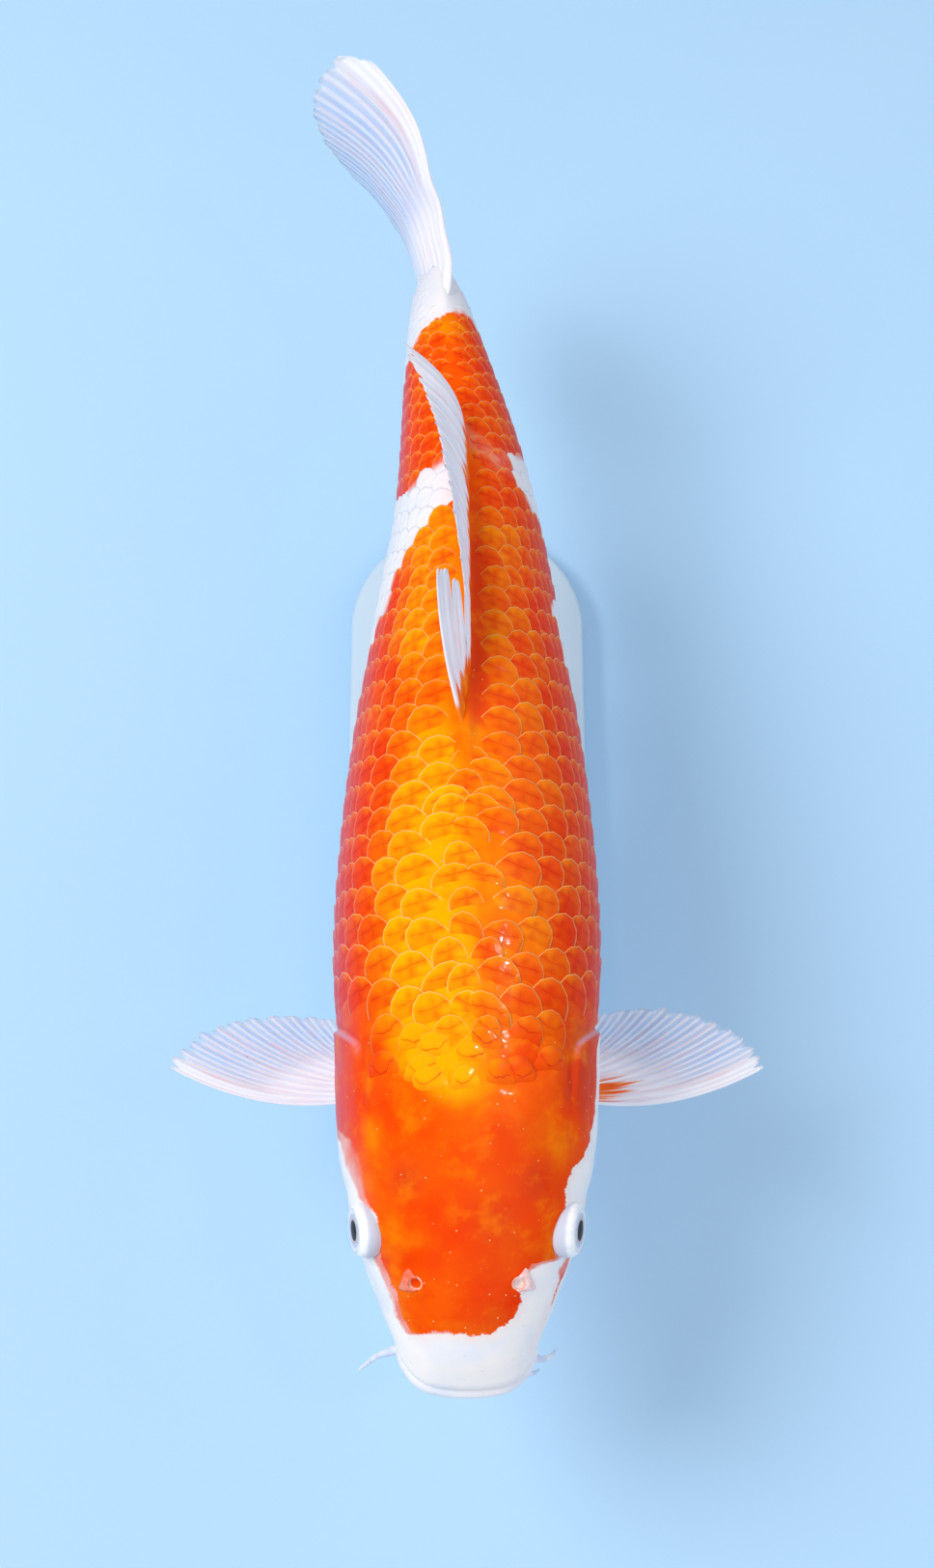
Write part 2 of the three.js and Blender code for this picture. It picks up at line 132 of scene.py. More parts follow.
def body_section(t, angle, swell=0.0):
    """x and z of the body's surface at t, where angle goes round from the back's ridge."""
    power = 2 / fullness(t)
    sine, cosine = np.sin(angle), np.cos(angle)
    middle = widest(t)
    height = np.where(cosine > 0, ridge(t) - middle, middle - keel(t)) + swell
    x = spine(t) + np.sign(sine) * (half_width(t) + swell) * np.abs(sine) ** power
    z = middle + np.sign(cosine) * height * np.abs(cosine) ** power
    return x, z


def place_in_row(x, t, z):
    return np.stack([x, t - STAND_T, z + AXIS_HEIGHT], -1) / 1000


# ---------------------------------------------------------------- girth: how far round the body

GIRTH_T = np.linspace(1.0, 404.0, 270)
GIRTH_SHARE = np.linspace(0, 1, 181)


def girth_table():
    """Angle for each share of the way round one side, and half the girth, at each station."""
    angles = np.linspace(0, math.pi, 721)
    t, angle = np.meshgrid(GIRTH_T, angles, indexing="ij")
    x, z = body_section(t, angle)
    steps = np.hypot(np.diff(x, axis=1), np.diff(z, axis=1))
    way = np.concatenate([np.zeros((len(GIRTH_T), 1)), np.cumsum(steps, 1)], 1)
    table = [np.interp(GIRTH_SHARE, row / row[-1], angles) for row in way]
    return np.array(table), way[:, -1]


ANGLE_TABLE, HALF_GIRTH = girth_table()


def half_girth(t):
    return np.interp(t, GIRTH_T, HALF_GIRTH)


def angle_at(t, share):
    """The angle round the body for a signed share of the half girth, from the ridge to the keel."""
    row = np.clip(np.interp(t, GIRTH_T, np.arange(len(GIRTH_T))), 0, len(GIRTH_T) - 1.001)
    column = np.clip(np.abs(share), 0, 0.9999) * (len(GIRTH_SHARE) - 1)
    i, j = row.astype(int), column.astype(int)
    di, dj = row - i, column - j
    near = ANGLE_TABLE[i, j] * (1 - dj) + ANGLE_TABLE[i, j + 1] * dj
    far = ANGLE_TABLE[i + 1, j] * (1 - dj) + ANGLE_TABLE[i + 1, j + 1] * dj
    return np.sign(share) * (near * (1 - di) + far * di)


def share_at(t, angle):
    """The signed share of the half girth at an angle round the body."""
    shares = np.empty_like(angle)
    rows = np.clip(np.rint(np.interp(t, GIRTH_T, np.arange(len(GIRTH_T)))).astype(int), 0, len(GIRTH_T) - 1)
    for row in np.unique(rows):
        here = rows == row
        shares[here] = np.interp(np.abs(angle[here]), ANGLE_TABLE[row], GIRTH_SHARE)
    return np.sign(angle) * shares


# ---------------------------------------------------------------- markings, shared by skin and scales

LEFT_EDGE = (
    (17, 0.25), (23, 0.28), (30, 0.27), (39, 0.294), (46, 0.278), (52, 0.258), (58, 0.3), (68, 0.306),
    (76, 0.33), (84, 0.48), (95, 0.56), (120, 0.58), (180, 0.55), (222, 0.47), (238, 0.395), (248, 0.35),
    (253, 0.3), (260, 0.265), (268, 0.245), (276, 0.21), (281, 0.15), (286, 0.1), (290, 0.055),
    (294, -0.005),
)
RIGHT_EDGE = (
    (17, 0.16), (22, 0.19), (26, 0.206), (28.5, 0.196), (30.8, 0.163), (33.8, 0.168), (37.5, 0.21),
    (40, 0.3), (54, 0.292), (60, 0.278), (67, 0.3), (70, 0.335), (76, 0.356), (84, 0.386), (106, 0.39),
    (116, 0.46), (124, 0.56), (180, 0.55), (222, 0.5), (231, 0.38), (250, 0.346), (256, 0.305), (261, 0.36),
    (268, 0.45), (284, 0.45), (290, 0.4), (291.5, 0.35), (295, 0.296), (300.5, 0.244), (304, 0.2),
    (310, 0.193), (314, 0.21), (320, 0.25),
)
FRONT_EDGE = ((-0.3, 19), (-0.2, 17.4), (-0.09, 18.4), (0.02, 17.1), (0.09, 17.3), (0.15, 19.3), (0.2, 23))
REAR_PATCH_FRONT = (
    (-0.6, 303), (-0.36, 301), (-0.27, 301.7), (-0.15, 304.8), (-0.06, 308.8), (0.0, 314), (0.08, 312),
    (0.2, 314), (0.3, 315.5), (0.45, 319),
)
REAR_PATCH_END = (
    (-0.6, 340), (-0.4, 356), (-0.27, 363.5), (-0.15, 369), (0.0, 371.5), (0.1, 374.5), (0.18, 375.7),
    (0.25, 373), (0.45, 366), (0.65, 345),
)
# The golden band's middle and half width, set a little towards the side the key lamp lights: partly painted
# light.
GOLD_MIDDLE = (
    (80, -0.01), (88, -0.02), (94, -0.06), (108, -0.07), (126, -0.08), (190, -0.085), (300, -0.08),
)
GOLD_HALF = (
    (78, 0.05), (84, 0.075), (94, 0.12), (108, 0.13), (126, 0.125), (156, 0.12), (187, 0.09), (215, 0.06),
)
GOLD_SPOTS = (
    (0.5, 367, 7, -0.02, 0.2), (0.42, 76, 7, -0.237, 0.05), (0.294, 71, 8, 0.24, 0.05),
    (0.36, 46, 9, -0.22, 0.07), (0.2, 72, 14, -0.01, 0.07), (0.3, 20, 2.6, -0.06, 0.12),
)
RED_SPOTS = (
    (1.0, 61.5, 6.5, -0.152, 0.05), (1.0, 61.5, 6.5, 0.178, 0.05), (0.55, 50, 7, 0.07, 0.07),
    (0.3, 84, 6, 0.17, 0.05), (0.5, 90, 6, -0.24, 0.05), (0.5, 90, 6, 0.24, 0.05),
)
FROST_MIDDLE = ((0, 321), (0.03, 317), (0.07, 313), (0.12, 310), (0.3, 309))
LEFT_BLUSH = ((17, 0), (19, 4), (42, 4.5), (46, 0), (52, 0), (58, 4), (66, 9), (76, 11), (90, 8), (100, 0))
RIGHT_BLUSH = ((33, 0), (37, 3.5), (41, 3), (44, 0))
FORE_PATCH_END = 322
REAR_PATCH_SIDE = 0.6
CHEEK_FLECK = {"t": 33.5, "share": 0.405, "half_length": 6, "half_height": 1.2, "slant": 0.05}


def along(points, value):
    return np.interp(value, [p[0] for p in points], [p[1] for p in points])


def spots_of(table, t, share):
    """Soft spots of colour: strength, station, length, share of the half girth and width of each."""
    return sum(
        strength * bell(t, station, length) * bell(share, middle, width)
        for strength, station, length, middle, width in table
    )


def inside_orange(t, share):
    """Millimetres in from the nearest edge of the orange, negative on the white."""
    girth = half_girth(t)
    fore_patch = np.minimum.reduce([
        t - along(FRONT_EDGE, share),
        (share + along(LEFT_EDGE, t)) * girth,
        (along(RIGHT_EDGE, t) - share) * girth,
        FORE_PATCH_END - t,
    ])
    rear_patch = np.minimum.reduce([
        t - along(REAR_PATCH_FRONT, share),
        along(REAR_PATCH_END, share) - t,
        (REAR_PATCH_SIDE - np.abs(share)) * girth,
    ])
    behind, above = t - CHEEK_FLECK["t"], (share - CHEEK_FLECK["share"]) * girth
    height = above / CHEEK_FLECK["half_height"] - CHEEK_FLECK["slant"] * behind
    cheek_fleck = 0.75 - np.hypot(behind / CHEEK_FLECK["half_length"], height)
    return np.maximum.reduce([fore_patch, rear_patch, cheek_fleck])


def golden_and_lit(t, share):
    """How far the orange turns golden: down the middle of the back, a little towards the side the key lamp
    lights, and in soft spots on the head. Along the back this is partly the fish's own yellow and partly
    painted light.
    """
    from_gold = np.abs(share - along(GOLD_MIDDLE, t)) / along(GOLD_HALF, t)
    nape_edge = 84 + 9 * smooth(np.abs(share), 0.06, 0.2)
    gold_and_light = 0.86 * fall(from_gold, 0.3, 1.5) * smooth(t, nape_edge - 8, nape_edge + 9)
    gold_and_light = gold_and_light * (1 - 0.75 * smooth(t, 170, 250)) * fall(t, 285, 300)
    amber = bell(share, 0.02, 0.21) * smooth(t, 92, 108) * fall(t, 275, 305)
    gold_and_light = np.maximum(gold_and_light, 0.42 * amber)
    gold_and_light = gold_and_light * (1 - 0.8 * bell(share, 0.03, 0.03) * smooth(t, 198, 208))
    # Painted light: a lighter golden strip towards the rear, on the side the key lamp lights.
    gold_and_light = gold_and_light + 0.4 * bell(share, -0.14, 0.08) * smooth(t, 205, 240) * fall(t, 285, 300)
    return np.clip(gold_and_light + spots_of(GOLD_SPOTS, t, share), 0, 1)


def reddened(t, share):
    """How far the orange turns deep red: down the flanks, at the gill's edge and beside the fin."""
    red = 0.85 * smooth(share, 0.17, 0.38) + 0.5 * smooth(-share, 0.24, 0.36)
    red = red * (0.35 + 0.65 * smooth(t, 80, 100)) + 0.4 * bell(share, 0.12, 0.12) * fall(t, 76, 84)
    gill_edge = bell(share, 0.3, 0.05) * smooth(t, 78, 92) * fall(t, 108, 114)
    beside_fin = bell(share, 0.028, 0.03) * smooth(t, 196, 206) * fall(t, 282, 298)
    red = red + 1.1 * (gill_edge + beside_fin)
    return np.clip(red + spots_of(RED_SPOTS, t, share), 0, 1.2)


def markings(t, share):
    """What the pattern is at each place, by name.

    orange: mm inside the orange. blush: width in mm of the rosy band outside it. The golden, red, pink
    and frost shares: how far the orange turns golden, partly with painted light, deep red, flank pink, partly
    with a painted reflection of the pale blue surroundings, and milky there.
    """
    # Flank pink: partly the fish's own tint, partly a painted reflection of the pale blue surroundings.
    pink_and_reflection = smooth(-share, 0.24, 0.42) + 0.75 * smooth(share, 0.32, 0.48)
    across_back = smooth(share, -0.02, 0.01) * fall(share, 0.2, 0.3)
    return {
        "orange": inside_orange(t, share),
        "gold_and_light": golden_and_lit(t, share),
        "red": reddened(t, share),
        "pink_and_reflection": np.clip(pink_and_reflection, 0, 1),
        "frost": bell(t, along(FROST_MIDDLE, share), 4.5) * across_back,
        "blush": np.where(share < 0, along(LEFT_BLUSH, t), along(RIGHT_BLUSH, t)),
    }


def carry(mesh, name, values):
    """Stores one number for each vertex, for the materials to read."""
    attribute = mesh.attributes.new(name, "FLOAT", "POINT")
    attribute.data.foreach_set("value", np.asarray(values, np.float32).ravel())


def carry_pattern(mesh, pattern, ragged):
    """Stores the markings, and how ragged their edges are, for each vertex."""
    for name, values in pattern.items():
        carry(mesh, name, values)
    carry(mesh, "ragged", ragged)


def coordinates(mesh):
    co = np.empty(len(mesh.vertices) * 3, np.float32)
    mesh.vertices.foreach_get("co", co)
    return co.reshape(-1, 3).astype(float)


def set_places(piece, place):
    """Puts a piece's vertices at places in the fish's own frame, in mm."""
    co = place_in_row(place[:, 0], place[:, 1], place[:, 2])
    piece.data.vertices.foreach_set("co", np.ascontiguousarray(co, np.float32).ravel())
    piece.data.update()


def loop_vertices(mesh):
    vertex = np.empty(len(mesh.loops), np.int32)
    mesh.loops.foreach_get("vertex_index", vertex)
    return vertex


def lay_map(mesh, name, uv):
    """Stores a UV map, with one row of uv for each face corner."""
    layer = mesh.uv_layers.new(name=name)
    layer.data.foreach_set("uv", np.ascontiguousarray(uv, np.float32).ravel())


def finished(bm, name):
    """Closes a bmesh into a piece that stands at the origin, with smooth faces."""
    mesh = bpy.data.meshes.new(name)
    for face in bm.faces:
        face.smooth = True
    bm.to_mesh(mesh)
    bm.free()
    piece = bpy.data.objects.new(name, mesh)
    bpy.context.collection.objects.link(piece)
    return piece


def turn_outwards(piece):
    """Turns the faces of a closed piece outwards, also where a curved sheet comes out inside out."""
    bm = bmesh.new()
    bm.from_mesh(piece.data)
    bmesh.ops.recalc_face_normals(bm, faces=bm.faces)
    if bm.calc_volume(signed=True) < 0:
        bmesh.ops.reverse_faces(bm, faces=bm.faces)
    bm.to_mesh(piece.data)
    bm.free()


def show_as(piece, material, nodes=()):
    """Gives a piece its material, the body it rides on and the CAD nodes it stands for."""
    piece.data.materials.clear()
    piece.data.materials.append(material)
    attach(piece, "root")
    if nodes:
        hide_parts(*nodes)


# ---------------------------------------------------------------- eyes: where they sit

SIDES = (-1, 1)
SIDE_NAMES = {1: "left", -1: "right"}
EYE = {"x": 30.9, "t": 49.2, "z": 12.8, "lift": 16.5, "forward": 8.0}


def eye_frame(side):
    """Centre, axis that looks out, and two directions across it, for one eye."""
    lift, forward = math.radians(EYE["lift"]), math.radians(EYE["forward"])
    centre = np.array([side * EYE["x"], EYE["t"], EYE["z"]])
    axis = np.array([side * math.cos(lift) * math.cos(forward), -math.sin(forward), math.sin(lift)])
    axis = axis / np.linalg.norm(axis)
    back = np.array([0.0, 1.0, 0.0])
    back = back - axis * back.dot(axis)
    back = back / np.linalg.norm(back)
    up = np.cross(axis, back) * side
    return centre, axis, back, up


# ---------------------------------------------------------------- skin

SKIN_AROUND = 256
SKIN_RINGS = 300
SKIN_START = 0.7
SKIN_END = 408.0
GILL_START = (75, 25.5)
GILL_BENDS = (
    ((84, 29.5), (98, 31.5), (104.5, 29.5)), ((109.5, 25), (119.5, -2), (111, -18)),
    ((105, -29), (92, -37), (78, -39)), ((67, -36), (62, -20), (64, -6)), ((65, 8), (68, 19), (75, 25.5)),
)


def gill_outline():
    """The gill cover's edge, as points (t, z)."""
    points, start = [], np.array(GILL_START, float)
    for first, second, stop in GILL_BENDS:
        a, b, c = (np.array(p, float) for p in (first, second, stop))
        for k in np.arange(12) / 12:
            near_start = (1 - k) ** 3 * start + 3 * k * (1 - k) ** 2 * a
            points.append(near_start + 3 * k * k * (1 - k) * b + k**3 * c)
        start = c
    return np.array(points)


def inside_outline(outline, t, z):
    """Distance from the outline, positive inside."""
    best = np.full(t.shape, 1e9)
    inside = np.zeros(t.shape, bool)
    for (t0, z0), (t1, z1) in zip(outline, np.roll(outline, -1, axis=0)):
        way = ((t - t0) * (t1 - t0) + (z - z0) * (z1 - z0)) / ((t1 - t0) ** 2 + (z1 - z0) ** 2 + 1e-9)
        way = np.clip(way, 0, 1)
        best = np.minimum(best, np.hypot(t - t0 - way * (t1 - t0), z - z0 - way * (z1 - z0)))
        crosses = (z0 > z) != (z1 > z)
        level = t0 + (z - z0) * (t1 - t0) / (z1 - z0 + 1e-9)
        inside ^= crosses & (t < level)
    return np.where(inside, best, -best)


FAR_OUTSIDE = -40.0
RING_SPANS = ((SKIN_START, 12, 34), (12, 122, 176), (122, 380, 66), (380, SKIN_END, 24))
NOSE_CROWDING = 1.6


def ring_stations():
    """Where the skin's rings stand along the body: close together on the head, wider behind it."""
    stations = []
    for start, stop, count in RING_SPANS:
        k = np.arange(count) / count
        if start == SKIN_START:
            k = k**NOSE_CROWDING
        stations.append(start + (stop - start) * k)
    return np.append(np.concatenate(stations), SKIN_END)


def skin_surface(t, angle):
    """The skin before its folds: just inside the solids, and rounded off within the tail fin."""
    nose = np.exp(-(t - SKIN_START) / 5)
    coat = mix(0.25, 0.95, smooth(t, 74, 104)) * (1 - nose)
    source = np.minimum(t - SKIN_START * nose, BODY_END)
    x, z = body_section(source, angle, -coat)
    closing = smooth(t, 384, SKIN_END)
    middle = spine(source)
    x = middle + (x - middle) * (1 - closing) ** 0.8
    round_off = np.sqrt(np.clip(1 - smooth(t, 396, SKIN_END) ** 2, 0, 1))
    x = x + tail_foot(np.maximum(t - TAIL_FIN["root"][1], 0.0), z / 22) * closing**0.7
    return np.stack([x, t, z * round_off], -1)


def head_folds(x, t, z):
    """How far each fold of the head and gill covers stands out from the skin, in mm."""
    ax = np.abs(x)
    lips = fall(ax, 19.5, 24) * fall(t, 13, 19)
    crease = -7.2 - 1.4 * (ax / 20) ** 2
    slit = -13.6 - 3 * (ax / 21) ** 2
    out = -1.15 * bell(z, crease, 0.8) * lips
    out = out + 0.35 * bell(z, crease + 3.2, 2.2) * lips
    out = out + 1.5 * bell(z, crease - 3.0, 2.1) * lips
    out = out - 2.0 * bell(z, slit, 0.75) * lips
    out = out + 0.8 * bell(z, slit - 3.0, 1.9) * lips
    out = out - 0.8 * bell(z, slit - 6.4, 1.3) * lips
    corner = bell(ax, 24.5, 1.5) * bell(t, 15, 6) * smooth(-z, 4, 9)
    out = out - 0.7 * corner
    chin = bell(ax, 9 + 0.33 * t, 1.6) * smooth(-z, 18, 24) * smooth(t, 12, 24) * fall(t, 60, 80)
    out = out - 0.6 * chin
    brow = bell(t, 49, 17) * bell(ax, 24, 6) * smooth(z, 16, 24)
    out = out + 0.5 * brow
    temple = bell(t, 68, 9) * bell(ax, 27, 6) * smooth(z, 14, 24)
    out = out - 0.55 * temple
    nose_ridge = bell(ax, 0, 9) * bell(t, 26, 11) * smooth(z, 5, 14)
    out = out + 0.45 * nose_ridge
    nape = bell(t, 89 + 0.012 * x**2, 2.6) * smooth(z, 24, 34)
    out = out - 0.5 * nape
    cheek = bell(t, 63, 3) * bell(z, -2, 17) * smooth(ax, 28, 34)
    out = out - 0.35 * cheek
    from_eye = np.hypot((t - 48) / 1.15, z - 12)
    under_eye = bell(from_eye, 17.5, 1.6) * smooth(ax, 24, 30) * smooth(5 - z, 0, 8)
    return out - 0.35 * under_eye


def gill_folds(t, z, edge):
    """The gill covers: a raised plate, free at its rear, with a groove behind it and a soft rim."""
    free = smooth(t, 82, 97)
    plate = 0.85 * smooth(edge, -0.2, 0.9) * (0.3 + 0.7 * free)
    groove = -0.95 * bell(edge, -1.0, 0.9) * free
    rim = 0.2 * bell(edge, 1.0, 0.7) * free
    crest = -0.4 * bell(edge, 9.5 + 2.5 * smooth(-z, 0, 25), 1.1) * smooth(t, 66, 76) * fall(t, 92, 100)
    lower = -0.45 * bell(z, -25 - 0.12 * (t - 90), 0.9) * smooth(edge, 1, 4) * smooth(t, 76, 86)
    return plate + groove + rim + crest + lower


def waves(x, t, z, seed, size):
    """Low, soft unevenness, the same on each run."""
    draw = np.random.default_rng(seed)
    total = np.zeros(np.shape(x))
    for _ in range(9):
        way = draw.normal(size=3)
        way = way / np.linalg.norm(way) * 2 * math.pi / (size * draw.uniform(0.7, 1.6))
        total = total + np.sin(way[0] * x + way[1] * t + way[2] * z + draw.uniform(0, 6.28))
    return total / 9


def sink_eye_sockets(place, out_way):
    """Draws the skin in around each eyeball, with a low rim."""
    for side in SIDES:
        centre, axis, _, _ = eye_frame(side)
        from_eye = place - centre
        height = from_eye @ axis
        across = np.linalg.norm(from_eye - height[:, None] * axis, axis=1)
        outer = smooth(height, -9, -4)
        rim = 0.3 * bell(across, 9.7, 1.4) * outer
        place = place + out_way * rim[:, None]
        sunk = smooth(8.0 - across, 0, 1.3) * outer
        place = place - axis * (sunk * (height + 3.2))[:, None]
    return place


NOSTRIL = {"t": 32.2, "share": 0.176}


def nostril_place(side):
    """The middle of one nostril, and the way out from the skin there."""
    place, out_way = on_skin(np.array([NOSTRIL["t"]]), np.array([side * NOSTRIL["share"]]))
    return place[0], out_way[0]


def skin_relief(place, t):
    """How far the skin stands out from its plain shape, and how far inside the gill's edge it is, in mm."""
    x, z = place[:, 0], place[:, 2]
    head = fall(t, 96, 116)
    near = (t > 50) & (t < 130) & (np.abs(x) > 14)
    edge = np.full(len(t), FAR_OUTSIDE)
    edge[near] = inside_outline(gill_outline(), t[near], z[near])
    gill = np.zeros(len(t))
    gill[near] = gill_folds(t[near], z[near], edge[near])
    out = head_folds(x, t, z) * head + gill * smooth(np.abs(x), 16, 24)
    out = out + 0.22 * waves(x, t, z, 3, 13) * smooth(t, 10, 30) * head
    out = out + 0.06 * waves(x, t, z, 4, 3.5) * smooth(t, 16, 30) * head
    for side in SIDES:
        away = np.linalg.norm(place - nostril_place(side)[0], axis=1)
        out = out - 1.7 * bell(away, 0, 1.5) + 0.3 * bell(away, 3.0, 1.1)
    from_spine = x - spine(t)
    fin_sheath = bell(from_spine, 0, 2.2) * smooth(t, 184, 200) * fall(t, 318, 328) * smooth(z, 20, 26)
    tail_sheath = bell(from_spine, 0.6, 2.8) * smooth(t, 368, 384) * fall(t, 388, 396) * smooth(z, 8, 18)
    return out + (1.1 + 1.3 * bell(t, 199, 7)) * fin_sheath + 1.7 * tail_sheath, edge


def build_skin():
    """One closed skin from the lips to the tail fin's root."""
    bm = bmesh.new()
    bmesh.ops.create_uvsphere(bm, u_segments=SKIN_AROUND, v_segments=SKIN_RINGS, radius=1.0)
    skin = finished(bm, "koi_skin")
    ball = coordinates(skin.data)
    ring = np.arccos(np.clip(-ball[:, 2], -1, 1)) / math.pi * SKIN_RINGS
    t = np.interp(ring, np.arange(SKIN_RINGS + 1), ring_stations())
    angle = np.arctan2(ball[:, 0], ball[:, 1])
    at_pole = np.abs(ball[:, 2]) > 1 - 1e-9
    angle[at_pole] = 0.0

    place = skin_surface(t, angle)
    ahead, behind = (np.clip(t + step, SKIN_START, SKIN_END) for step in (0.02, -0.02))
    lengthways = skin_surface(ahead, angle) - skin_surface(behind, angle)
    around = skin_surface(t, angle + 0.003) - skin_surface(t, angle - 0.003)
    out_way = np.cross(lengthways, around)
    flip = np.sign(np.einsum("ij,ij->i", out_way, place - np.stack([spine(t), t, widest(t)], -1)))
    size = np.linalg.norm(out_way, axis=1)
    out_way = out_way * flip[:, None] / np.maximum(size, 1e-12)[:, None]
    out_way[size < 1e-12] = 0.0
    out_way[at_pole] = [[0, -1, 0] if v < 50 else [0, 1, 0] for v in t[at_pole]]

    share = share_at(t, angle)
    x, z = place[:, 0], place[:, 2]
    out, edge = skin_relief(place, t)
    set_places(skin, sink_eye_sockets(place + out_way * out[:, None], out_way))
    turn_outwards(skin)
    soft_cheek = bell(t, 72, 12) * smooth(-share, 0.18, 0.26)
    carry_pattern(skin.data, markings(t, share), 1 - 2.2 * soft_cheek)
    carry(skin.data, "rim", bell(edge, 0.3, 0.5) * smooth(t, 99, 108) * smooth(np.abs(share), 0.19, 0.3))
    # The lips' lower side, which the skin's finish tints as painted shade.
    carry(skin.data, "lips", fall(np.abs(x), 20, 24) * fall(t, 10, 16) * smooth(-z, 5, 9))
    return skin


# ---------------------------------------------------------------- scales

COLUMNS = (
    0.05, 0.125, 0.188, 0.256, 0.303, 0.345, 0.39, 0.445, 0.505, 0.568, 0.632, 0.696, 0.76, 0.824, 0.888,
    0.952,
)
COLUMN_SPREAD = ((200, 1.0), (264, 0.93), (290, 0.96), (320, 1.18), (400, 1.3))
SHOULDER_CLOSING = ((133, 0.073), (178, 0.0))
CLOSING_BY_COLUMN = ((0.253, 1.0), (0.305, 0.65), (0.35, 0.15), (0.4, 0.0))
ROW_PITCH = (
    (88, 9.9), (128, 9.5), (142, 8.8), (195, 8.9), (225, 9.2), (255, 8.4), (300, 8.0), (320, 7.4),
    (345, 6.4), (372, 5.9), (398, 5.2),
)
ROW_SWEEP = (
    (100, 13), (119, 13), (128, 12), (138, 10), (147, 7.5), (164, 5), (182, 7.5), (205, 8.5), (400, 7),
)
FIRST_ROW = 99.3
MIDLINE_SCALES = {"first": 95.0, "last": 196.0, "pitch": 7.4, "width": 0.052}
SCALE_STEPS_ACROSS = (-1.0, -0.87, -0.48, 0.0, 0.48, 0.87, 1.0)
SCALE_STEPS_ALONG = (0.0, 0.34, 0.6, 0.8, 0.93, 1.0)
SCALE_OVERLAP_ALONG = 1.5
SCALE_OVERLAP_ACROSS = 1.5
SCALE_CORNER = 0.38
SCALE_THICKNESS = 0.26
SCALE_LIFT = 0.066
SCALE_ROLL = 0.026
COPY_STEP = 10
OFBAKE_PATCH = 0.003


def column_middle(base, t):
    """How far a column of scales lies from the ridge at a station, as a share of the half girth."""
    closing = along(SHOULDER_CLOSING, t) * along(CLOSING_BY_COLUMN, base)
    spread = 1 + (along(COLUMN_SPREAD, t) - 1) * fall(base, 0.35, 1.0)
    beside_fin = 0.026 * smooth(t, 196, 212) * fall(t, 312, 324) * fall(base, 0.06, 0.3)
    return float(base * spread - closing + beside_fin)


def row_places():
    """Where the rows of scale tips cross the flank."""
    rows = [FIRST_ROW]
    while rows[-1] < BODY_END:
        rows.append(rows[-1] + float(along(ROW_PITCH, rows[-1])))
    return rows


def scale_plate():
    """One scale as a thin closed plate, flat and square: x across, y along and z through it."""
    across, along_it = len(SCALE_STEPS_ACROSS) - 1, len(SCALE_STEPS_ALONG) - 1
    bm = bmesh.new()
    bmesh.ops.create_grid(bm, x_segments=across, y_segments=along_it, size=0.5)
    made = bmesh.ops.extrude_face_region(bm, geom=bm.faces[:], use_keep_orig=True)
    lower = [v for v in made["geom"] if isinstance(v, bmesh.types.BMVert)]
    bmesh.ops.translate(bm, vec=(0, 0, -1), verts=lower)
    under = [f for f in bm.faces if all(v.co.z < -0.5 for v in f.verts)]
    bmesh.ops.dissolve_faces(bm, faces=under)
    for v in bm.verts:
        i, j = round((v.co.x + 0.5) * across), round((v.co.y + 0.5) * along_it)
        v.co.x, v.co.y = SCALE_STEPS_ACROSS[i], SCALE_STEPS_ALONG[j]
    bmesh.ops.recalc_face_normals(bm, faces=bm.faces)
    layer = bm.loops.layers.uv.new("ScaleMap")
    for face in bm.faces:
        for loop in face.loops:
            loop[layer].uv = (loop.vert.co.x, loop.vert.co.y)
    return finished(bm, "scale_plate")


def copies(plate, count, name):
    """Many of one plate in one mesh, one after the other, ready to be laid out."""
    array = plate.modifiers.new("row", "ARRAY")
    array.count = count
    array.use_relative_offset = False
    array.use_constant_offset = True
    array.constant_offset_displace = (0, 0, COPY_STEP)
    bpy.context.view_layer.update()
    source = plate.evaluated_get(bpy.context.evaluated_depsgraph_get())
    mesh = bpy.data.meshes.new_from_object(source)
    mesh.name = name
    plate.modifiers.remove(array)
    piece = bpy.data.objects.new(name, mesh)
    bpy.context.collection.objects.link(piece)
    return piece


def side_spots(draw, side, column):
    """One column of scales down one side, from the shoulder to the tail."""
    base = COLUMNS[column]
    before = COLUMNS[column - 1] if column else base - 0.07
    after = COLUMNS[column + 1] if column + 1 < len(COLUMNS) else base + 0.064
    spots = []
    for row in row_places():
        middle = column_middle(base, row - 5)
        sweep = float(along(ROW_SWEEP, row)) * (1 - min(max((middle - 0.05) / 0.27, 0), 1))
        tip = row - sweep - 9 * max(0.0, middle - 0.42)
        middle = column_middle(base, tip)
        width = (column_middle(after, tip) - column_middle(before, tip)) / 2
        pitch = float(along(ROW_PITCH, tip))
        drift = (column_middle(base, tip + 4) - column_middle(base, tip - 4)) / 8 * float(half_girth(tip))
        by_back = math.exp(-((middle / 0.085) ** 2))
        nape = float(fall(tip, 104, 122)) * float(fall(middle, 0.18, 0.24))
        loose = by_back + 1.2 * nape
        tip += loose * draw.uniform(-0.14, 0.14) * pitch + draw.normal() * 0.02 * pitch
        shift = draw.normal() * (0.02 + 0.08 * loose) * width
        grow = 1 + draw.normal() * 0.025 - 0.08 * loose * draw.uniform(0, 1)
        turn = side * drift + draw.normal() * (0.03 + 0.12 * loose)
        shade = draw.uniform()
        pitch, width = pitch * (1 - 0.06 * nape), width * (1 - 0.1 * nape)
        root = tip - SCALE_OVERLAP_ALONG * pitch
        if middle >= 0.034 and has_scale(root, middle, pitch):
            spots.append((root, side * (middle + shift), pitch * grow, width * grow, turn, shade, by_back))
    return spots


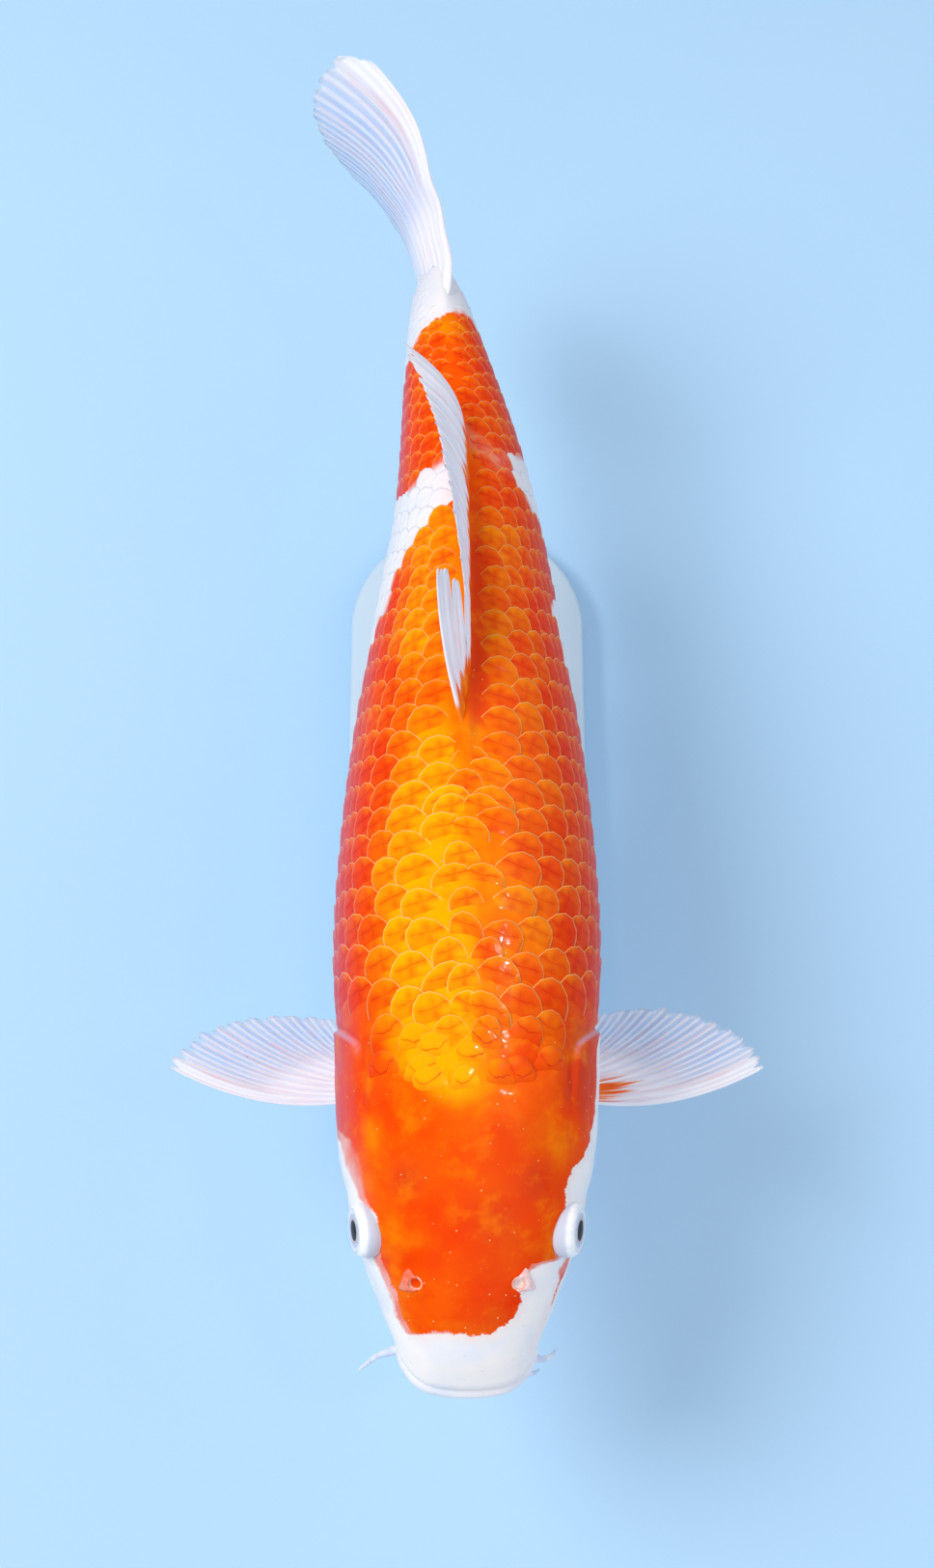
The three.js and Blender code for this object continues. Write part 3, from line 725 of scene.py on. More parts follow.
def midline_spots(draw):
    """The uneven scales down the ridge of the nape, ahead of the dorsal fin."""
    spots, tip, count = [], MIDLINE_SCALES["first"], 0
    while tip < MIDLINE_SCALES["last"]:
        places = (-0.034, 0.036) if count % 3 == 2 else (draw.uniform(-0.01, 0.014),)
        for share in places:
            pitch = MIDLINE_SCALES["pitch"] * draw.uniform(0.9, 1.1)
            width = MIDLINE_SCALES["width"] * draw.uniform(0.85, 1.15)
            root = tip - SCALE_OVERLAP_ALONG * pitch
            spots.append((root, share, pitch, width, draw.normal() * 0.08, draw.uniform(), 0.0))
        tip += MIDLINE_SCALES["pitch"] * draw.uniform(0.92, 1.12)
        count += 1
    return spots


def scale_spots():
    """Every scale's place: root, signed share, pitch, width, turn, shade and nearness to the midline."""
    draw = np.random.default_rng(11)
    spots = []
    for side in SIDES:
        for column in range(len(COLUMNS)):
            spots += side_spots(draw, side, column)
    return np.array(spots + midline_spots(draw))


GILL_REAR = (
    (0.19, 96), (0.22, 99), (0.25, 107.5), (0.33, 112), (0.42, 116), (0.5, 116.5), (0.6, 112), (0.7, 104),
    (0.8, 96), (1.0, 92),
)


def has_scale(root, share, pitch):
    """Scales start behind the nape and the gill covers, and end at the tail fin's root."""
    if root + pitch < 88.0 + 3.2 * (share / 0.19) ** 2 and share < 0.24:
        return False
    if share > 0.19 and root + 0.15 * pitch < along(GILL_REAR, share):
        return False
    return root + 1.2 * pitch < 392 - 16 * max(0.0, share - 0.3)


def scale_pattern(t, local, tips, shares, shades):
    """The markings on the scales. Each scale's own tip decides most of its orange and its golden share, which
    is partly painted light.
    """
    each = len(t) // len(tips)
    pattern, own = markings(t, local), markings(tips, shares)
    pattern["orange"] = mix(pattern["orange"], np.repeat(own["orange"], each), 0.55)
    tint = own["gold_and_light"] + (shades - 0.5) * 0.4 * smooth(own["gold_and_light"], 0.04, 0.3)
    pattern["gold_and_light"] = np.clip(mix(pattern["gold_and_light"], np.repeat(tint, each), 0.6), 0, 1)
    return pattern


def lay_scales(plate, spots, name):
    """Drapes one plate over the body at each spot, tilted so that each covers the root of the next."""
    count = len(spots)
    piece = copies(plate, count, name)
    flat = coordinates(piece.data)
    each = len(flat) // count
    u, v, w = (flat[:, k].reshape(count, each) for k in range(3))
    w = w - COPY_STEP * np.arange(count)[:, None]
    root, share, pitch, width, turn, shade, by_back = (spots[:, k][:, None] for k in range(7))
    side = np.where(share < 0, -1.0, 1.0)
    outward = side * u
    half = 0.5 * SCALE_OVERLAP_ACROSS * width * half_girth(root)
    rear = SCALE_CORNER + (1 - SCALE_CORNER) * np.sqrt(1 - 0.96 * u**2)
    x_flat = half * u * (1 - 0.18 * (1 - v) ** 2)
    y_flat = SCALE_OVERLAP_ALONG * pitch * v * rear
    t = root + y_flat
    local = share + (x_flat + turn * y_flat) / half_girth(t)
    height = SCALE_LIFT * y_flat + SCALE_ROLL * outward * half + 0.2 * (1 - u**2) * smooth(v, 0.3, 0.75)
    fade = smooth(pitch, 3.5, 8.0)
    thin = SCALE_THICKNESS * (0.45 + 0.55 * fade) * (1 - 0.35 * np.exp(-((share / 0.14) ** 2)))
    sunk = 0.22 + 0.9 * fall(v, 0.08, 0.42) + 0.5 * by_back * smooth(-outward, 0.2, 1.0)
    nape = fall(root, 84, 104) * smooth(0.26 - np.abs(share), 0, 0.04)
    sunk = sunk + nape * (0.62 - 0.75 * (1 - u**2) * bell(v, 0.68, 0.3))
    height = height * (0.5 + 0.5 * fade) - sunk + thin * w
    place, out_way = on_skin(t, local)
    set_places(piece, (place + out_way * height[..., None]).reshape(-1, 3))
    tips = (root + 0.95 * pitch)[:, 0]
    pattern = scale_pattern(t.ravel(), local.ravel(), tips, share[:, 0], shade[:, 0])
    carry_pattern(piece.data, pattern, np.full(len(flat), 0.2))
    embedded = fall(root, 92, 106) * fall(np.abs(share), 0.19, 0.25)
    for word, values in (("embedded", embedded), ("shade", shade), ("side", side)):
        carry(piece.data, word, np.repeat(values[:, 0], each))
    bake_map(piece.data, spots, each)
    return piece


def on_skin(t, share):
    """A place on the bare skin under the scales, and the way out from it."""
    angle = angle_at(t, share)
    lengthways = skin_surface(t + 0.3, angle) - skin_surface(t - 0.3, angle)
    around = skin_surface(t, angle + 0.01) - skin_surface(t, angle - 0.01)
    out_way = np.cross(around, lengthways)
    out_way = out_way / np.maximum(np.linalg.norm(out_way, axis=-1), 1e-9)[..., None]
    return skin_surface(t, angle), out_way


def bake_map(mesh, spots, each):
    """OFBake: each scale as a small patch at its root's place on the skin unrolled flat."""
    shape = np.empty(len(mesh.loops) * 2, np.float32)
    mesh.uv_layers["ScaleMap"].data.foreach_get("uv", shape)
    shape = shape.reshape(-1, 2) * (0.5, 1.0)
    root, share = spots[:, 0], spots[:, 1]
    unrolled = np.stack([0.5 + share * half_girth(root) / 420, 0.02 + root / 430], -1)
    lay_map(mesh, "OFBake", unrolled[loop_vertices(mesh) // each] + OFBAKE_PATCH * shape)
    mesh.uv_layers["ScaleMap"].active_render = True
    mesh.uv_layers.active = mesh.uv_layers["ScaleMap"]


def build_scales():
    """The scales, in four pieces: along the back, down each flank and under the belly."""
    plate, spots = scale_plate(), scale_spots()
    share = spots[:, 1]
    groups = {
        "scales_back": np.abs(share) < 0.24,
        "scales_flank_left": (share >= 0.24) & (share < 0.6),
        "scales_flank_right": (share <= -0.24) & (share > -0.6),
        "scales_belly": np.abs(share) >= 0.6,
    }
    pieces = [lay_scales(plate, spots[chosen], name) for name, chosen in groups.items()]
    bpy.data.objects.remove(plate)
    return pieces


# ---------------------------------------------------------------- paints and finishes


def paint(red, green, blue):
    """A paint as seen, 0 to 255, turned into the shader's own light values."""
    values = []
    for v in (red, green, blue):
        c = v / 255
        values.append(c / 12.92 if c <= 0.04045 else ((c + 0.055) / 1.055) ** 2.4)
    return (*values, 1.0)


class Finish:
    """A material in the making. Each call adds a node and gives back what comes out of it."""

    def __init__(self, name, **shader_values):
        self.material = bpy.data.materials.new(name)
        self.material.use_nodes = True
        self.tree = self.material.node_tree
        self.shader = self.tree.nodes["Principled BSDF"]
        for key, value in shader_values.items():
            self.shader.inputs[key.replace("_", " ")].default_value = value
        self.places = self.tree.nodes.new("ShaderNodeTexCoord").outputs["Object"]

    def feed(self, socket, value):
        if isinstance(value, bpy.types.NodeSocket):
            self.tree.links.new(value, socket)
        else:
            socket.default_value = value

    def to_shader(self, name, value):
        self.feed(self.shader.inputs[name], value)

    def carried(self, name):
        node = self.tree.nodes.new("ShaderNodeAttribute")
        node.attribute_name = name
        return node.outputs["Fac"]

    def worked(self, kind, *values):
        """One kind of sum, worked on one value, or on the first and each of the others in turn."""
        result, others = values[0], values[1:] or (0.5,)
        for other in others:
            node = self.tree.nodes.new("ShaderNodeMath")
            node.operation = kind
            self.feed(node.inputs[0], result)
            self.feed(node.inputs[1], other)
            result = node.outputs[0]
        return result

    def add(self, *values):
        return self.worked("ADD", *values)

    def less(self, a, b):
        return self.worked("SUBTRACT", a, b)

    def times(self, first, *others):
        return self.worked("MULTIPLY", first, *others) if others else first

    def larger(self, *values):
        return self.worked("MAXIMUM", *values)

    def smaller(self, *values):
        return self.worked("MINIMUM", *values)

    def size_of(self, value):
        return self.worked("ABSOLUTE", value)

    def step(self, value, start, stop, low=0.0, high=1.0):
        """low before start, high after stop, with a soft turn."""
        node = self.tree.nodes.new("ShaderNodeMapRange")
        node.interpolation_type = "SMOOTHSTEP"
        ends = {"From Min": start, "From Max": stop, "To Min": low, "To Max": high}
        for name, number in {"Value": value, **ends}.items():
            self.feed(node.inputs[name], number)
        return node.outputs["Result"]

    def fall(self, value, start, stop):
        return self.step(value, start, stop, 1.0, 0.0)

    def blend(self, share, a, b):
        node = self.tree.nodes.new("ShaderNodeMix")
        node.data_type = "RGBA"
        self.feed(node.inputs["Factor"], share)
        self.feed(node.inputs[6], a)
        self.feed(node.inputs[7], b)
        return node.outputs[2]

    def over(self, colour, tint, *shares):
        """The colour with a share of a tint laid over it."""
        return self.blend(self.times(*shares), colour, tint)

    def noise(self, scale, detail=2.0, rough=0.5, place=None):
        node = self.tree.nodes.new("ShaderNodeTexNoise")
        for name, number in {"Scale": scale, "Detail": detail, "Roughness": rough}.items():
            node.inputs[name].default_value = number
        self.tree.links.new(place or self.places, node.inputs["Vector"])
        return node.outputs["Fac"]

    def grain(self, stretch, detail=3, rough=0.6, place=None):
        """Noise drawn out, with a scale of its own each way."""
        mapping = self.tree.nodes.new("ShaderNodeMapping")
        mapping.inputs["Scale"].default_value = stretch
        self.tree.links.new(place or self.places, mapping.inputs["Vector"])
        return self.noise(1.0, detail, rough, mapping.outputs["Vector"])

    def cells(self, scale):
        """Distance to the nearest of many scattered points, and a random share for each."""
        node = self.tree.nodes.new("ShaderNodeTexVoronoi")
        node.inputs["Scale"].default_value = scale
        self.tree.links.new(self.places, node.inputs["Vector"])
        split = self.tree.nodes.new("ShaderNodeSeparateColor")
        self.tree.links.new(node.outputs["Color"], split.inputs[0])
        return node.outputs["Distance"], split.outputs[0]

    def laid_out(self, name):
        """The piece's own map, split into its two ways."""
        node = self.tree.nodes.new("ShaderNodeUVMap")
        node.uv_map = name
        split = self.tree.nodes.new("ShaderNodeSeparateXYZ")
        self.tree.links.new(node.outputs[0], split.inputs[0])
        return split.outputs[0], split.outputs[1], node.outputs[0]

    def lengthways(self):
        """Metres along the row frame's Y, towards the tail."""
        split = self.tree.nodes.new("ShaderNodeSeparateXYZ")
        self.tree.links.new(self.places, split.inputs[0])
        return split.outputs[1]

    def relief(self, height, depth_m, socket="Normal"):
        node = self.tree.nodes.new("ShaderNodeBump")
        node.inputs["Distance"].default_value = depth_m
        self.feed(node.inputs["Height"], height)
        self.tree.links.new(node.outputs[0], self.shader.inputs[socket])


ORANGE = paint(254, 98, 0)
DEEP_ORANGE = paint(246, 66, 0)
LIGHT_ORANGE = paint(254, 128, 6)
GOLD = paint(255, 176, 0)
FLANK_RED = paint(222, 62, 22)
FLANK_PINK_REFLECTION = paint(222, 102, 116)
MILK_WHITE = paint(253, 246, 243)
BLUE_WHITE = paint(236, 238, 246)
ROSE_WHITE = paint(249, 230, 226)
STEM_WHITE = paint(224, 220, 226)
SALMON = paint(240, 112, 92)
FROSTED = paint(238, 150, 122)


WET_SKIN = {"Roughness": 0.4, "Specular_IOR_Level": 0.03, "Coat_IOR": 1.33}


def koi_orange(f, ragged):
    """The orange, mottled and redder down the flanks, pinker there with a painted reflection, and how golden
    it is, partly with painted light.
    """
    mottled = f.times(f.step(f.noise(40, 2), 0.38, 0.64), f.less(1.0, f.times(ragged, 0.35)))
    orange = f.over(DEEP_ORANGE, ORANGE, mottled)
    orange = f.over(orange, LIGHT_ORANGE, f.step(f.noise(70, 3), 0.5, 0.75), 0.4)
    orange = f.over(orange, FLANK_RED, f.carried("red"), 0.75)
    # Flank pink, partly a painted reflection of the pale blue surroundings.
    orange = f.over(orange, FLANK_PINK_REFLECTION, f.carried("pink_and_reflection"), 0.8)
    # The golden share is partly painted light on the lit side of the back.
    uneven = f.add(f.carried("gold_and_light"), f.times(f.less(f.noise(160, 3), 0.5), 0.35))
    gold_and_light = f.times(f.step(uneven, 0.08, 0.95), f.step(f.carried("gold_and_light"), 0.02, 0.25))
    orange = f.over(orange, GOLD, gold_and_light)
    streaks = f.step(f.grain((420, 110, 420), 3, 0.5), 0.3, 0.62, 0.35, 1.0)
    return f.over(orange, FROSTED, f.carried("frost"), streaks, 0.8), gold_and_light


def koi_white(f, inside):
    """The white, rosy beside the orange, duller towards the tail, and greyer at the tail's root with painted
    shade.
    """
    white = f.over(MILK_WHITE, BLUE_WHITE, f.step(f.noise(60, 2), 0.42, 0.75))
    white = f.over(white, ROSE_WHITE, f.step(inside, -4.5, -0.2), 0.7)
    rearwards = f.lengthways()
    white = f.over(white, STEM_WHITE, f.step(rearwards, -0.17, 0.05), 0.45)
    # Painted shade: the white greyer at the tail's root.
    white = f.over(white, STEM_WHITE, f.step(rearwards, 0.146, 0.166), 0.75)
    blush = f.carried("blush")
    edge = f.step(f.add(inside, blush), -0.6, f.add(0.6, f.times(blush, 0.35)))
    patchy = f.step(f.noise(90, 3), 0.25, 0.7, 0.95, 0.6)
    return f.over(white, SALMON, edge, f.step(blush, 0.1, 2.0), patchy)


def koi_colours(f):
    """The kohaku pattern: orange patches with ragged edges on white. Skin and scales both use it."""
    ragged = f.carried("ragged")
    coarse = f.less(f.noise(330, 3), 0.5)
    fine = f.less(f.noise(1300, 2), 0.5)
    shift = f.add(f.times(coarse, 4.0), f.times(fine, 1.8))
    inside = f.add(f.carried("orange"), f.times(ragged, shift))
    soft = f.less(1.5, f.times(ragged, 1.2))
    mask = f.step(inside, f.times(soft, -0.8), soft)
    orange, gold_and_light = koi_orange(f, ragged)
    return f.blend(mask, koi_white(f, inside), orange), mask, gold_and_light


def skin_finish():
    f = Finish("wet_koi_skin", Coat_Weight=0.06, Coat_Roughness=0.04, **WET_SKIN)
    colour, mask, _ = koi_colours(f)
    # Small pale specks scattered over the orange: painted glints.
    away, pick = f.cells(400)
    glint_speck = f.times(f.fall(away, 0.08, 0.15), f.step(pick, 0.7, 0.72))
    veins = f.step(f.noise(150, 5, 0.75), 0.54, 0.7)
    lights = f.step(f.noise(64, 5, 0.62), 0.5, 0.72)
    shades = f.times(f.step(f.noise(110, 4, 0.6), 0.5, 0.7), f.step(f.noise(26, 2), 0.4, 0.6))
    # The pale specks laid on the orange as painted glints.
    colour = f.over(colour, paint(255, 200, 128), glint_speck, mask, 0.8)
    colour = f.over(colour, LIGHT_ORANGE, veins, mask, 0.34)
    colour = f.over(colour, paint(255, 136, 0), lights, mask, 0.62)
    colour = f.over(colour, paint(236, 44, 0), shades, mask, 0.5)
    # Painted shade: the underside of the lips tinted lavender-blue.
    colour = f.over(colour, paint(214, 222, 242), f.carried("lips"), 0.35)
    colour = f.over(colour, paint(206, 200, 226), f.carried("rim"), 0.6)
    f.to_shader("Base Color", colour)
    f.to_shader("Roughness", f.step(f.noise(300, 3), 0.3, 0.7, 0.34, 0.5))
    pores, dents = f.noise(420, 4, 0.6), f.noise(2200, 2)
    f.relief(f.add(f.times(pores, 0.7), f.times(dents, 0.2), f.times(glint_speck, 0.8)), 0.0002)
    f.relief(f.add(f.noise(240, 2), f.times(glint_speck, 0.6)), 0.0003, "Coat Normal")
    return f.material


def scale_edge(f, across, way, reach, round_off):
    """How pale a scale is: 1 along its free edge, at its rear and its sides."""
    from_rear = f.times(f.less(1.0, way), 13.5, reach, round_off)
    from_side = f.times(f.less(1.0, f.size_of(across)), 7.0)
    uneven = f.noise(700, 2)
    start, stop = f.add(0.06, f.times(uneven, 0.2)), f.add(0.3, f.times(uneven, 0.36))
    return f.fall(f.smaller(from_rear, from_side), start, stop)


def scale_creases_and_shade(f, pitches, across, to_back, embedded, free):
    """The crease across a scale, and the painted shade along the crease, the streak along the scale and round
    both, partly the edges of the scales beneath showing through.
    """
    bend = f.times(to_back, to_back, f.add(0.12, f.times(embedded, 0.45)))
    wavy = f.times(f.less(f.noise(130, 2), 0.5), f.add(0.26, f.times(embedded, 0.7)))
    crease_at = f.add(f.less(0.98, f.times(embedded, 0.12)), bend, f.times(to_back, 0.22), wavy)
    off_crease = f.size_of(f.less(pitches, crease_at))
    off_streak = f.size_of(f.add(f.less(to_back, 0.04), f.times(wavy, 0.5)))
    middle = f.fall(f.size_of(across), 0.6, 1.0)
    long_way = f.times(f.step(pitches, 0.5, 0.7), f.fall(pitches, 1.15, 1.45), free)
    crease = f.times(f.fall(off_crease, 0.0, 0.052), middle)
    streak = f.times(f.fall(off_streak, 0.0, 0.15), long_way)
    round_crease = f.times(f.fall(off_crease, 0.0, 0.32), middle)
    round_streak = f.times(f.fall(off_streak, 0.0, 0.46), long_way)
    # Painted shade spread softly round the crease and the streak.
    soft_shade = f.times(f.larger(round_crease, round_streak), f.less(0.56, f.times(embedded, 0.4)))
    strength = f.step(f.noise(170, 2), 0.3, 0.6, 0.6, 1.0)
    return crease, f.times(f.larger(f.times(crease, 0.9), soft_shade, f.times(streak, 0.66)), strength)


def scale_finish():
    f = Finish("wet_koi_scale", Coat_Weight=0.16, Coat_Roughness=0.05, **WET_SKIN)
    colour, mask, gold_and_light = koi_colours(f)
    across, way, _ = f.laid_out("ScaleMap")
    embedded = f.carried("embedded")
    free = f.less(1.0, f.times(embedded, 0.85))
    to_back = f.times(across, f.carried("side"), -1.0)
    round_off = f.worked("SQRT", f.less(1.0, f.times(across, across, 0.96)))
    reach = f.add(SCALE_CORNER, f.times(round_off, 1 - SCALE_CORNER))
    pitches = f.times(way, reach, SCALE_OVERLAP_ALONG)
    crease, crease_shade = scale_creases_and_shade(f, pitches, across, to_back, embedded, free)
    # Painted highlight: lighter yellow over the rear of each scale, on its side towards the back.
    painted_highlight = f.times(f.step(pitches, 1.05, 1.3), f.step(to_back, -0.3, 0.4))
    colour = f.over(colour, paint(255, 164, 0), painted_highlight, mask, 0.3)
    # Painted shadow: each scale darker towards its root, where the scale in front overlaps it. Then painted
    # shade along its crease and streak.
    root_shadow_strength = f.add(0.82, f.times(f.carried("shade"), 0.3))
    deep = f.over(paint(222, 28, 0), paint(236, 84, 0), gold_and_light)
    colour = f.over(colour, deep, f.fall(pitches, 0.5, 0.95), 0.4, root_shadow_strength, mask)
    colour = f.over(colour, deep, crease_shade, mask)
    # The rims turn pinkish on the flanks with the painted reflection there.
    rim = f.over(paint(255, 178, 104), paint(232, 168, 190), f.carried("pink_and_reflection"))
    rim = f.over(rim, paint(255, 220, 124), gold_and_light)
    rim = f.over(paint(234, 237, 250), rim, mask)
    pale = scale_edge(f, across, way, reach, round_off)
    colour = f.over(colour, rim, pale, free, f.less(0.74, f.times(gold_and_light, 0.1)))
    f.to_shader("Base Color", colour)
    f.to_shader("Roughness", f.step(f.noise(380, 3), 0.3, 0.7, 0.32, 0.48))
    rays = f.grain((900, 160, 900), 2, 0.5)
    f.relief(f.add(f.times(f.noise(420, 3), 0.5), f.times(crease, -0.35), f.times(rays, 0.25)), 0.00024)
    f.relief(f.add(f.noise(260, 2), f.times(crease, -0.3)), 0.0004, "Coat Normal")
    return f.material


# ---------------------------------------------------------------- fins

DORSAL = {"from": 199.0, "to": 321.0, "rays": 19}
ANAL = {"from": 291.0, "to": 321.0, "rays": 7}
PECTORAL = {"rays": 12, "last": 122.0, "middle": (62.0, 107.5, -27.0), "reach": 38.7}
PELVIC = {"rays": 9}
TAIL_FIN = {
    "rays": 20, "root": (-9.0, 383.0), "root_half": 20.0, "fork": 51.0, "lobe": 28.0, "spread": 34.0,
    "sheath": 6,
}
TAIL_SWING = (
    (-1, -16), (-0.5, -21), (-0.2, -25), (0, -33), (0.15, -42.5), (0.32, -50), (0.5, -55), (0.7, -55.5),
    (0.85, -49.5), (1, -34),
)


def bowed(start, middle, end, r):
    """A point on the bow from start to end that leans towards middle."""
    r = r[:, None]
    return (1 - r) ** 2 * start + 2 * r * (1 - r) * middle + r * r * end


DORSAL_LEAN = (
    (0, -9.5), (0.04, -8), (0.08, -5), (0.12, -2), (0.16, -0.6), (0.2, -1.1), (0.3, -2.4), (0.5, -5.4),
    (0.75, -10.7), (0.9, -15.5), (1, -20.5),
)
DORSAL_SPLITS = ((1.5, 0.16, 0.1), (2.5, 0.5, 0.2))


def dorsal_length(s):
    return mix(30, 25, s) + 24 * bell(s, 0, 0.11) + 5 * smooth(s, 0.88, 1)


def dorsal_place(s, r):
    root = mix(DORSAL["from"], DORSAL["to"], s)
    length = dorsal_length(s) * r
    sweep = np.radians(mix(37, 44, s))
    lean = along(DORSAL_LEAN, s)
    leaning = mix(1 - (1 - r) ** 2, r**2, smooth(s, 0.06, 0.24))
    x = spine(root) + lean * leaning + 0.7 * bow(r) * smooth(s, 0.05, 0.2)
    z = ridge(root) - 3.5 * (1 - r) + length * np.sin(sweep) * (1 + 0.1 * bow(r))
    return np.stack([x, root + length * np.cos(sweep), z], -1)


def anal_place(s, r):
    root = mix(ANAL["from"], ANAL["to"], s)
    length = mix(43, 23, s**0.8) * (1 - 0.12 * fall(s, 0, 0.2) - 0.1 * smooth(s, 0.8, 1)) * r
    sweep = np.radians(mix(44, 50, s))
    z = keel(root) + 3.5 * (1 - r) - length * np.sin(sweep)
    return np.stack([spine(root) + 2.5 * r * r, root + length * np.cos(sweep), z], -1)


def pectoral_place(side):
    def place(s, r):
        x, t, z = PECTORAL["middle"]
        turn = np.radians(PECTORAL["last"]) * s
        reach_t = 21.0 if side > 0 else 18.5
        tip = np.stack([x + PECTORAL["reach"] * np.cos(turn), t + reach_t * np.sin(turn), z + 0 * s], -1)
        root = np.stack([33 + 0 * s, mix(98.5, 111, s), mix(-33, -30, s)], -1)
        middle = (root + tip) / 2
        middle[:, 1] -= mix(13.5, 3, s)
        middle[:, 2] += mix(1, -4, s)
        point = bowed(root, middle, tip, r)
        point[:, 0] *= side
        return point

    return place


def pelvic_place(side):
    def place(s, r):
        root = mix(np.array([15.0, 194, -44]), np.array([8.0, 206, -44]), s[:, None])
        tip = mix(np.array([33.0, 226, -64]), np.array([9.0, 232, -60]), s[:, None])
        tip[:, 1] += 9 * bow(s)
        tip = root + (tip - root) * mix(0.8, 1.0, bow(s) ** 0.6)[:, None]
        middle = (root + tip) / 2
        middle[:, 0] += 3
        point = bowed(root, middle, tip, r)
        point[:, 0] *= side
        return point

    return place


TAIL_LOBE = ((0, 0), (0.25, 0.19), (0.5, 0.44), (0.7, 0.72), (0.85, 1.03), (0.93, 1.09), (1, 0.99))
TAIL_FOOT_BELOW = (
    (0, 0), (6, -2.4), (12, -4.2), (18, -4.4), (26, -3.6), (33, -2.5), (41, -1.8), (50, -0.2), (60, 0.4),
    (90, 0.4),
)
TAIL_FOOT_ABOVE = (
    (0, 0), (6, 1.6), (12, 2.2), (21, 0.6), (30, 0), (37, -1.5), (45, -0.8), (56, 0.4), (70, 0.4),
    (90, 0.4),
)


def tail_foot(run, a):
    """The sideways turn of the tail fin's foot: its upper edge to the left, the rest to the right."""
    below, above = smooth_along(TAIL_FOOT_BELOW, run), smooth_along(TAIL_FOOT_ABOVE, run)
    return mix(below, above, smooth(a, 0.35, 1))


def tail_place(s, r):
    a = 1 - 2 * s
    size = np.abs(a)
    angle = np.radians(TAIL_FIN["spread"] * np.tanh(2 * a) / math.tanh(2))
    length = (TAIL_FIN["fork"] + TAIL_FIN["lobe"] * smooth_along(TAIL_LOBE, size)) * r
    swing = smooth_along(TAIL_SWING, a) - TAIL_FIN["root"][0]
    lag = mix(-1.5, 1.1, np.maximum(a, 0))
    x = TAIL_FIN["root"][0] + swing * r ** (2 + 0.6 * size) + lag * bow(r)
    x = x + tail_foot(length, a)
    t = TAIL_FIN["root"][1] + length * np.cos(angle) - TAIL_FIN["sheath"] * (1 - r) ** 6
    z = 0.7 + TAIL_FIN["root_half"] * a + length * np.sin(angle) * (1 + 0.12 * bow(r))
    return np.stack([x, t, z], -1)


def smooth_along(points, value):
    """A smooth curve through points, with the slopes of their neighbours."""
    x = np.array([p[0] for p in points], float)
    y = np.array([p[1] for p in points], float)
    slope = np.gradient(y, x)
    i = np.clip(np.searchsorted(x, value, side="right") - 1, 0, len(x) - 2)
    span = x[i + 1] - x[i]
    p = (value - x[i]) / span
    a = (2 * p**3 - 3 * p**2 + 1) * y[i] + (p**3 - 2 * p**2 + p) * span * slope[i]
    return a + (-2 * p**3 + 3 * p**2) * y[i + 1] + (p**3 - p**2) * span * slope[i + 1]


def fin_blank(columns, rows):
    """Two layers of a flat grid joined round their rim: x across the rays, y along them, z through."""
    bm = bmesh.new()
    bmesh.ops.create_grid(bm, x_segments=columns, y_segments=rows, size=0.5)
    made = bmesh.ops.extrude_face_region(bm, geom=bm.faces[:], use_keep_orig=True)
    lower = [v for v in made["geom"] if isinstance(v, bmesh.types.BMVert)]
    bmesh.ops.translate(bm, vec=(0, 0, -1), verts=lower)
    bmesh.ops.recalc_face_normals(bm, faces=bm.faces)
    return bm


def fin_edge(phase, r, rays, notch, splits, seed):
    """r drawn in towards the edge: notched between the rays, uneven, and torn at the splits."""
    lengths = np.random.default_rng(seed).uniform(-1, 1, 2 * rays + 2)
    uneven = np.interp(phase * 2, np.arange(len(lengths)), lengths)
    from_notch = phase - np.floor(phase) - 0.5
    slant = (from_notch + 0.5) * (np.abs(from_notch) > 0.06)
    cut = notch * (bell(from_notch, 0, 0.09) + 0.3 * slant + 0.3 * uneven)
    reach = r * (1 - cut * smooth(r, 0.55, 1.0))
    for at, depth, width in splits:
        reach = reach * (1 - depth * bell(phase, at, width) * smooth(r, 0.3, 0.9))
    return reach


def build_fin(
    name, place, rays, rows, root_mm, seed, notch=0.05, pleat=0.3, branch=0.45, per_ray=8, splits=(),
    flame=None, milky=None,
):
    """A thin fin with raised rays that fork towards an edge of rounded lobes.

    place gives the middle of the fin for s, from its first ray to its last, and r, from root to edge.
    """
    fin = finished(fin_blank(rays * per_ray, rows), name)
    flat = coordinates(fin.data)
    s, r = flat[:, 0] + 0.5, (flat[:, 1] + 0.5) ** 0.9
    layer = np.where(flat[:, 2] > -0.5, 1.0, -1.0)
    phase = s * rays
    whole, forked = (np.cos(turns * np.pi * phase) ** 2 for turns in (1, 2))
    ray = mix(whole, forked, smooth(r, branch - 0.1, branch + 0.2))
    reach = fin_edge(phase, r, rays, notch, splits, seed)
    step = 1e-3
    across = place(np.minimum(s + step, 1), reach) - place(np.maximum(s - step, 0), reach)
    way = place(s, np.minimum(reach + step, 1)) - place(s, np.maximum(reach - step, 0))
    out_way = np.cross(across, way)
    out_way = out_way / np.maximum(np.linalg.norm(out_way, axis=1), 1e-9)[:, None]
    fold = pleat * np.cos(2 * np.pi * phase) * smooth(r, 0.05, 0.3) * (1 - 0.3 * r)
    half = mix(root_mm, 0.5, np.sqrt(r)) * 0.35 + mix(0.22, 0.12, r) * ray
    half = half * (1 - 0.55 * smooth(r, 0.93, 1.0)) * (1 - 0.5 * smooth(np.abs(s - 0.5), 0.485, 0.5))
    set_places(fin, place(s, reach) + out_way * (fold + layer * half)[:, None])
    turn_outwards(fin)
    lay_map(fin.data, "FinMap", np.stack([phase, r], -1)[loop_vertices(fin.data)])
    carry(fin.data, "orange_foot", flame(s, r) if flame else np.full(len(s), FAR_OUTSIDE))
    carry(fin.data, "milky", milky(s, r) if milky else fall(r, 0.1, 0.6))
    return fin


